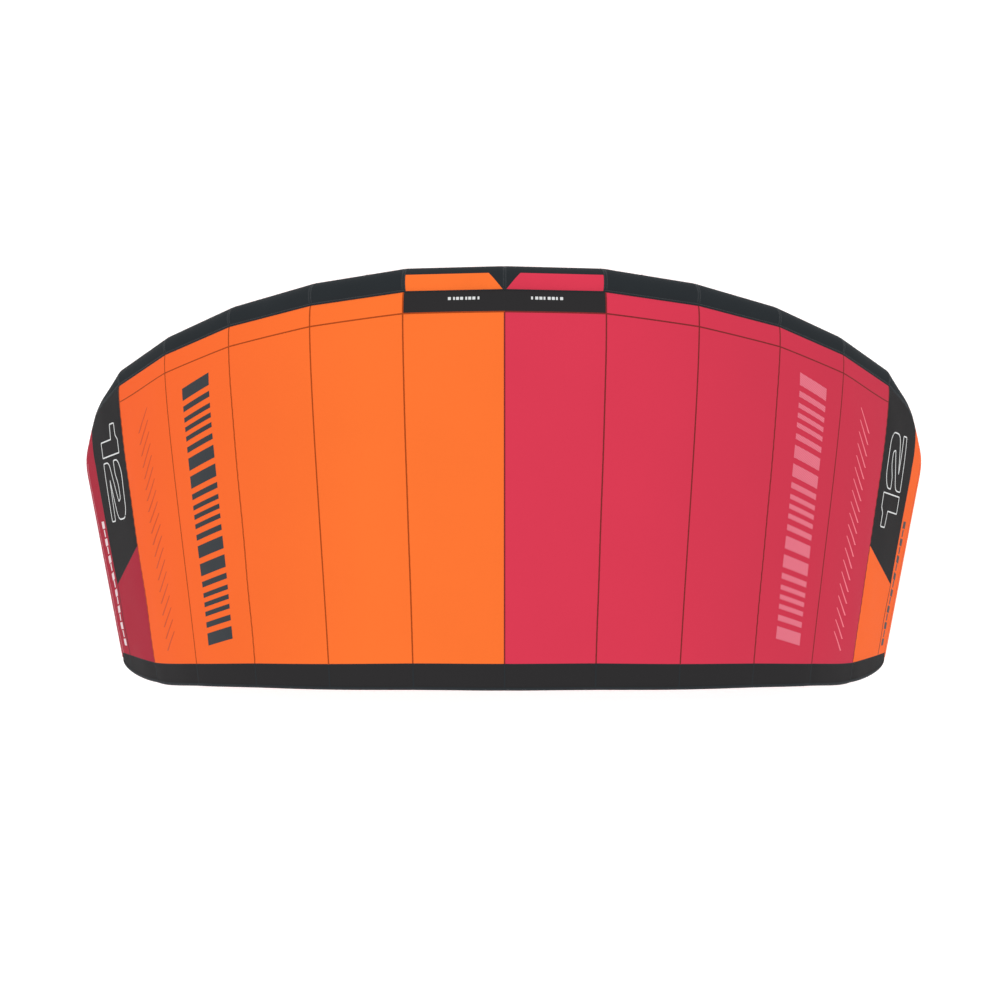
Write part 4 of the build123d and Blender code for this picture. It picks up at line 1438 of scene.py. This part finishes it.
def paint_cad():
    """Gives every CAD piece that stays the material of its slot."""
    slots = {part["node"]: part["material_slot"] for part in frame["record"]["subparts"]}
    for node, obj in frame["nodes"].items():
        material = MATERIALS[slots[node]]
        for holder in obj.material_slots:
            holder.material = material


# --- Camera, light and floor ------------------------------------------------------------------------

CAMERA_HEIGHT = 8.23  # above the crown
CAMERA_X = -0.023
CAMERA_Y = -0.0696
LENS = 58.65
FLOOR = 60.0
FLOOR_GLOW = 0.3  # it is a light table, so it stays white beside the kite
SKY_LIGHT = 1.1
KEY_LIGHT = 0.5
KEY_SPREAD = 50.0
KEY_TURN = (-22.0, -18.0, 0.0)


def add_camera():
    data = bpy.data.cameras.new("camera")
    data.lens = LENS
    data.sensor_width = 36.0
    data.clip_end = 200.0
    camera = bpy.data.objects.new("camera", data)
    camera.location = (CAMERA_X, CAMERA_Y, CROWN_HEIGHT + CAMERA_HEIGHT)
    bpy.context.scene.collection.objects.link(camera)
    bpy.context.scene.camera = camera


def add_floor():
    paint = Paint("floor_paper")
    paint.set(base_color=paint.mix(paint.noise(1.5), (0.93, 0.93, 0.93, 1), (0.95, 0.95, 0.95, 1)))
    paint.set(roughness=0.9, specular_ior_level=0.1)
    paint.set(emission_color=(1, 1, 1, 1), emission_strength=FLOOR_GLOW)
    half = FLOOR / 2
    mesh = bpy.data.meshes.new("floor")
    corners = [(-half, -half, 0), (half, -half, 0), (half, half, 0), (-half, half, 0)]
    mesh.from_pydata(corners, [], [(0, 1, 2, 3)])
    mesh.materials.append(paint.material)
    floor = bpy.data.objects.new("floor", mesh)
    bpy.context.scene.collection.objects.link(floor)


def add_light():
    world = bpy.data.worlds.new("studio")
    world.use_nodes = True
    background = world.node_tree.nodes["Background"]
    background.inputs["Color"].default_value = (1, 1, 1, 1)
    background.inputs["Strength"].default_value = SKY_LIGHT
    bpy.context.scene.world = world
    sun = bpy.data.lights.new("key", "SUN")
    sun.energy = KEY_LIGHT
    sun.angle = radians(KEY_SPREAD)
    lamp = bpy.data.objects.new("key", sun)
    lamp.rotation_euler = [radians(turn) for turn in KEY_TURN]
    bpy.context.scene.collection.objects.link(lamp)
    bpy.context.scene.view_settings.view_transform = "Standard"


add_camera()
add_floor()
add_light()
paint_cad()
for each in SIDES:
    make_canopy(each)
    make_leading_edge(each)
make_struts()
make_bladder()
rib_seam(0, "right")
joint_ring(0, "right")
for each in SIDES:
    make_seams(each)
    for tube_joint in range(1, HEEL + 1):
        joint_ring(tube_joint, each)
    attachment(0, TIP + 2, "edge_seam", each, "dark_tape")
    attachment(TIP + 2, HEEL + 1, "tip_edge_seam", each, TIP_TAPE[each])
    make_patches(each)
    make_flash(each)
    make_blocks(each)
    make_hatch(each)
    make_digits(each)
    make_strip_marks(each)
    make_band_marks(each)
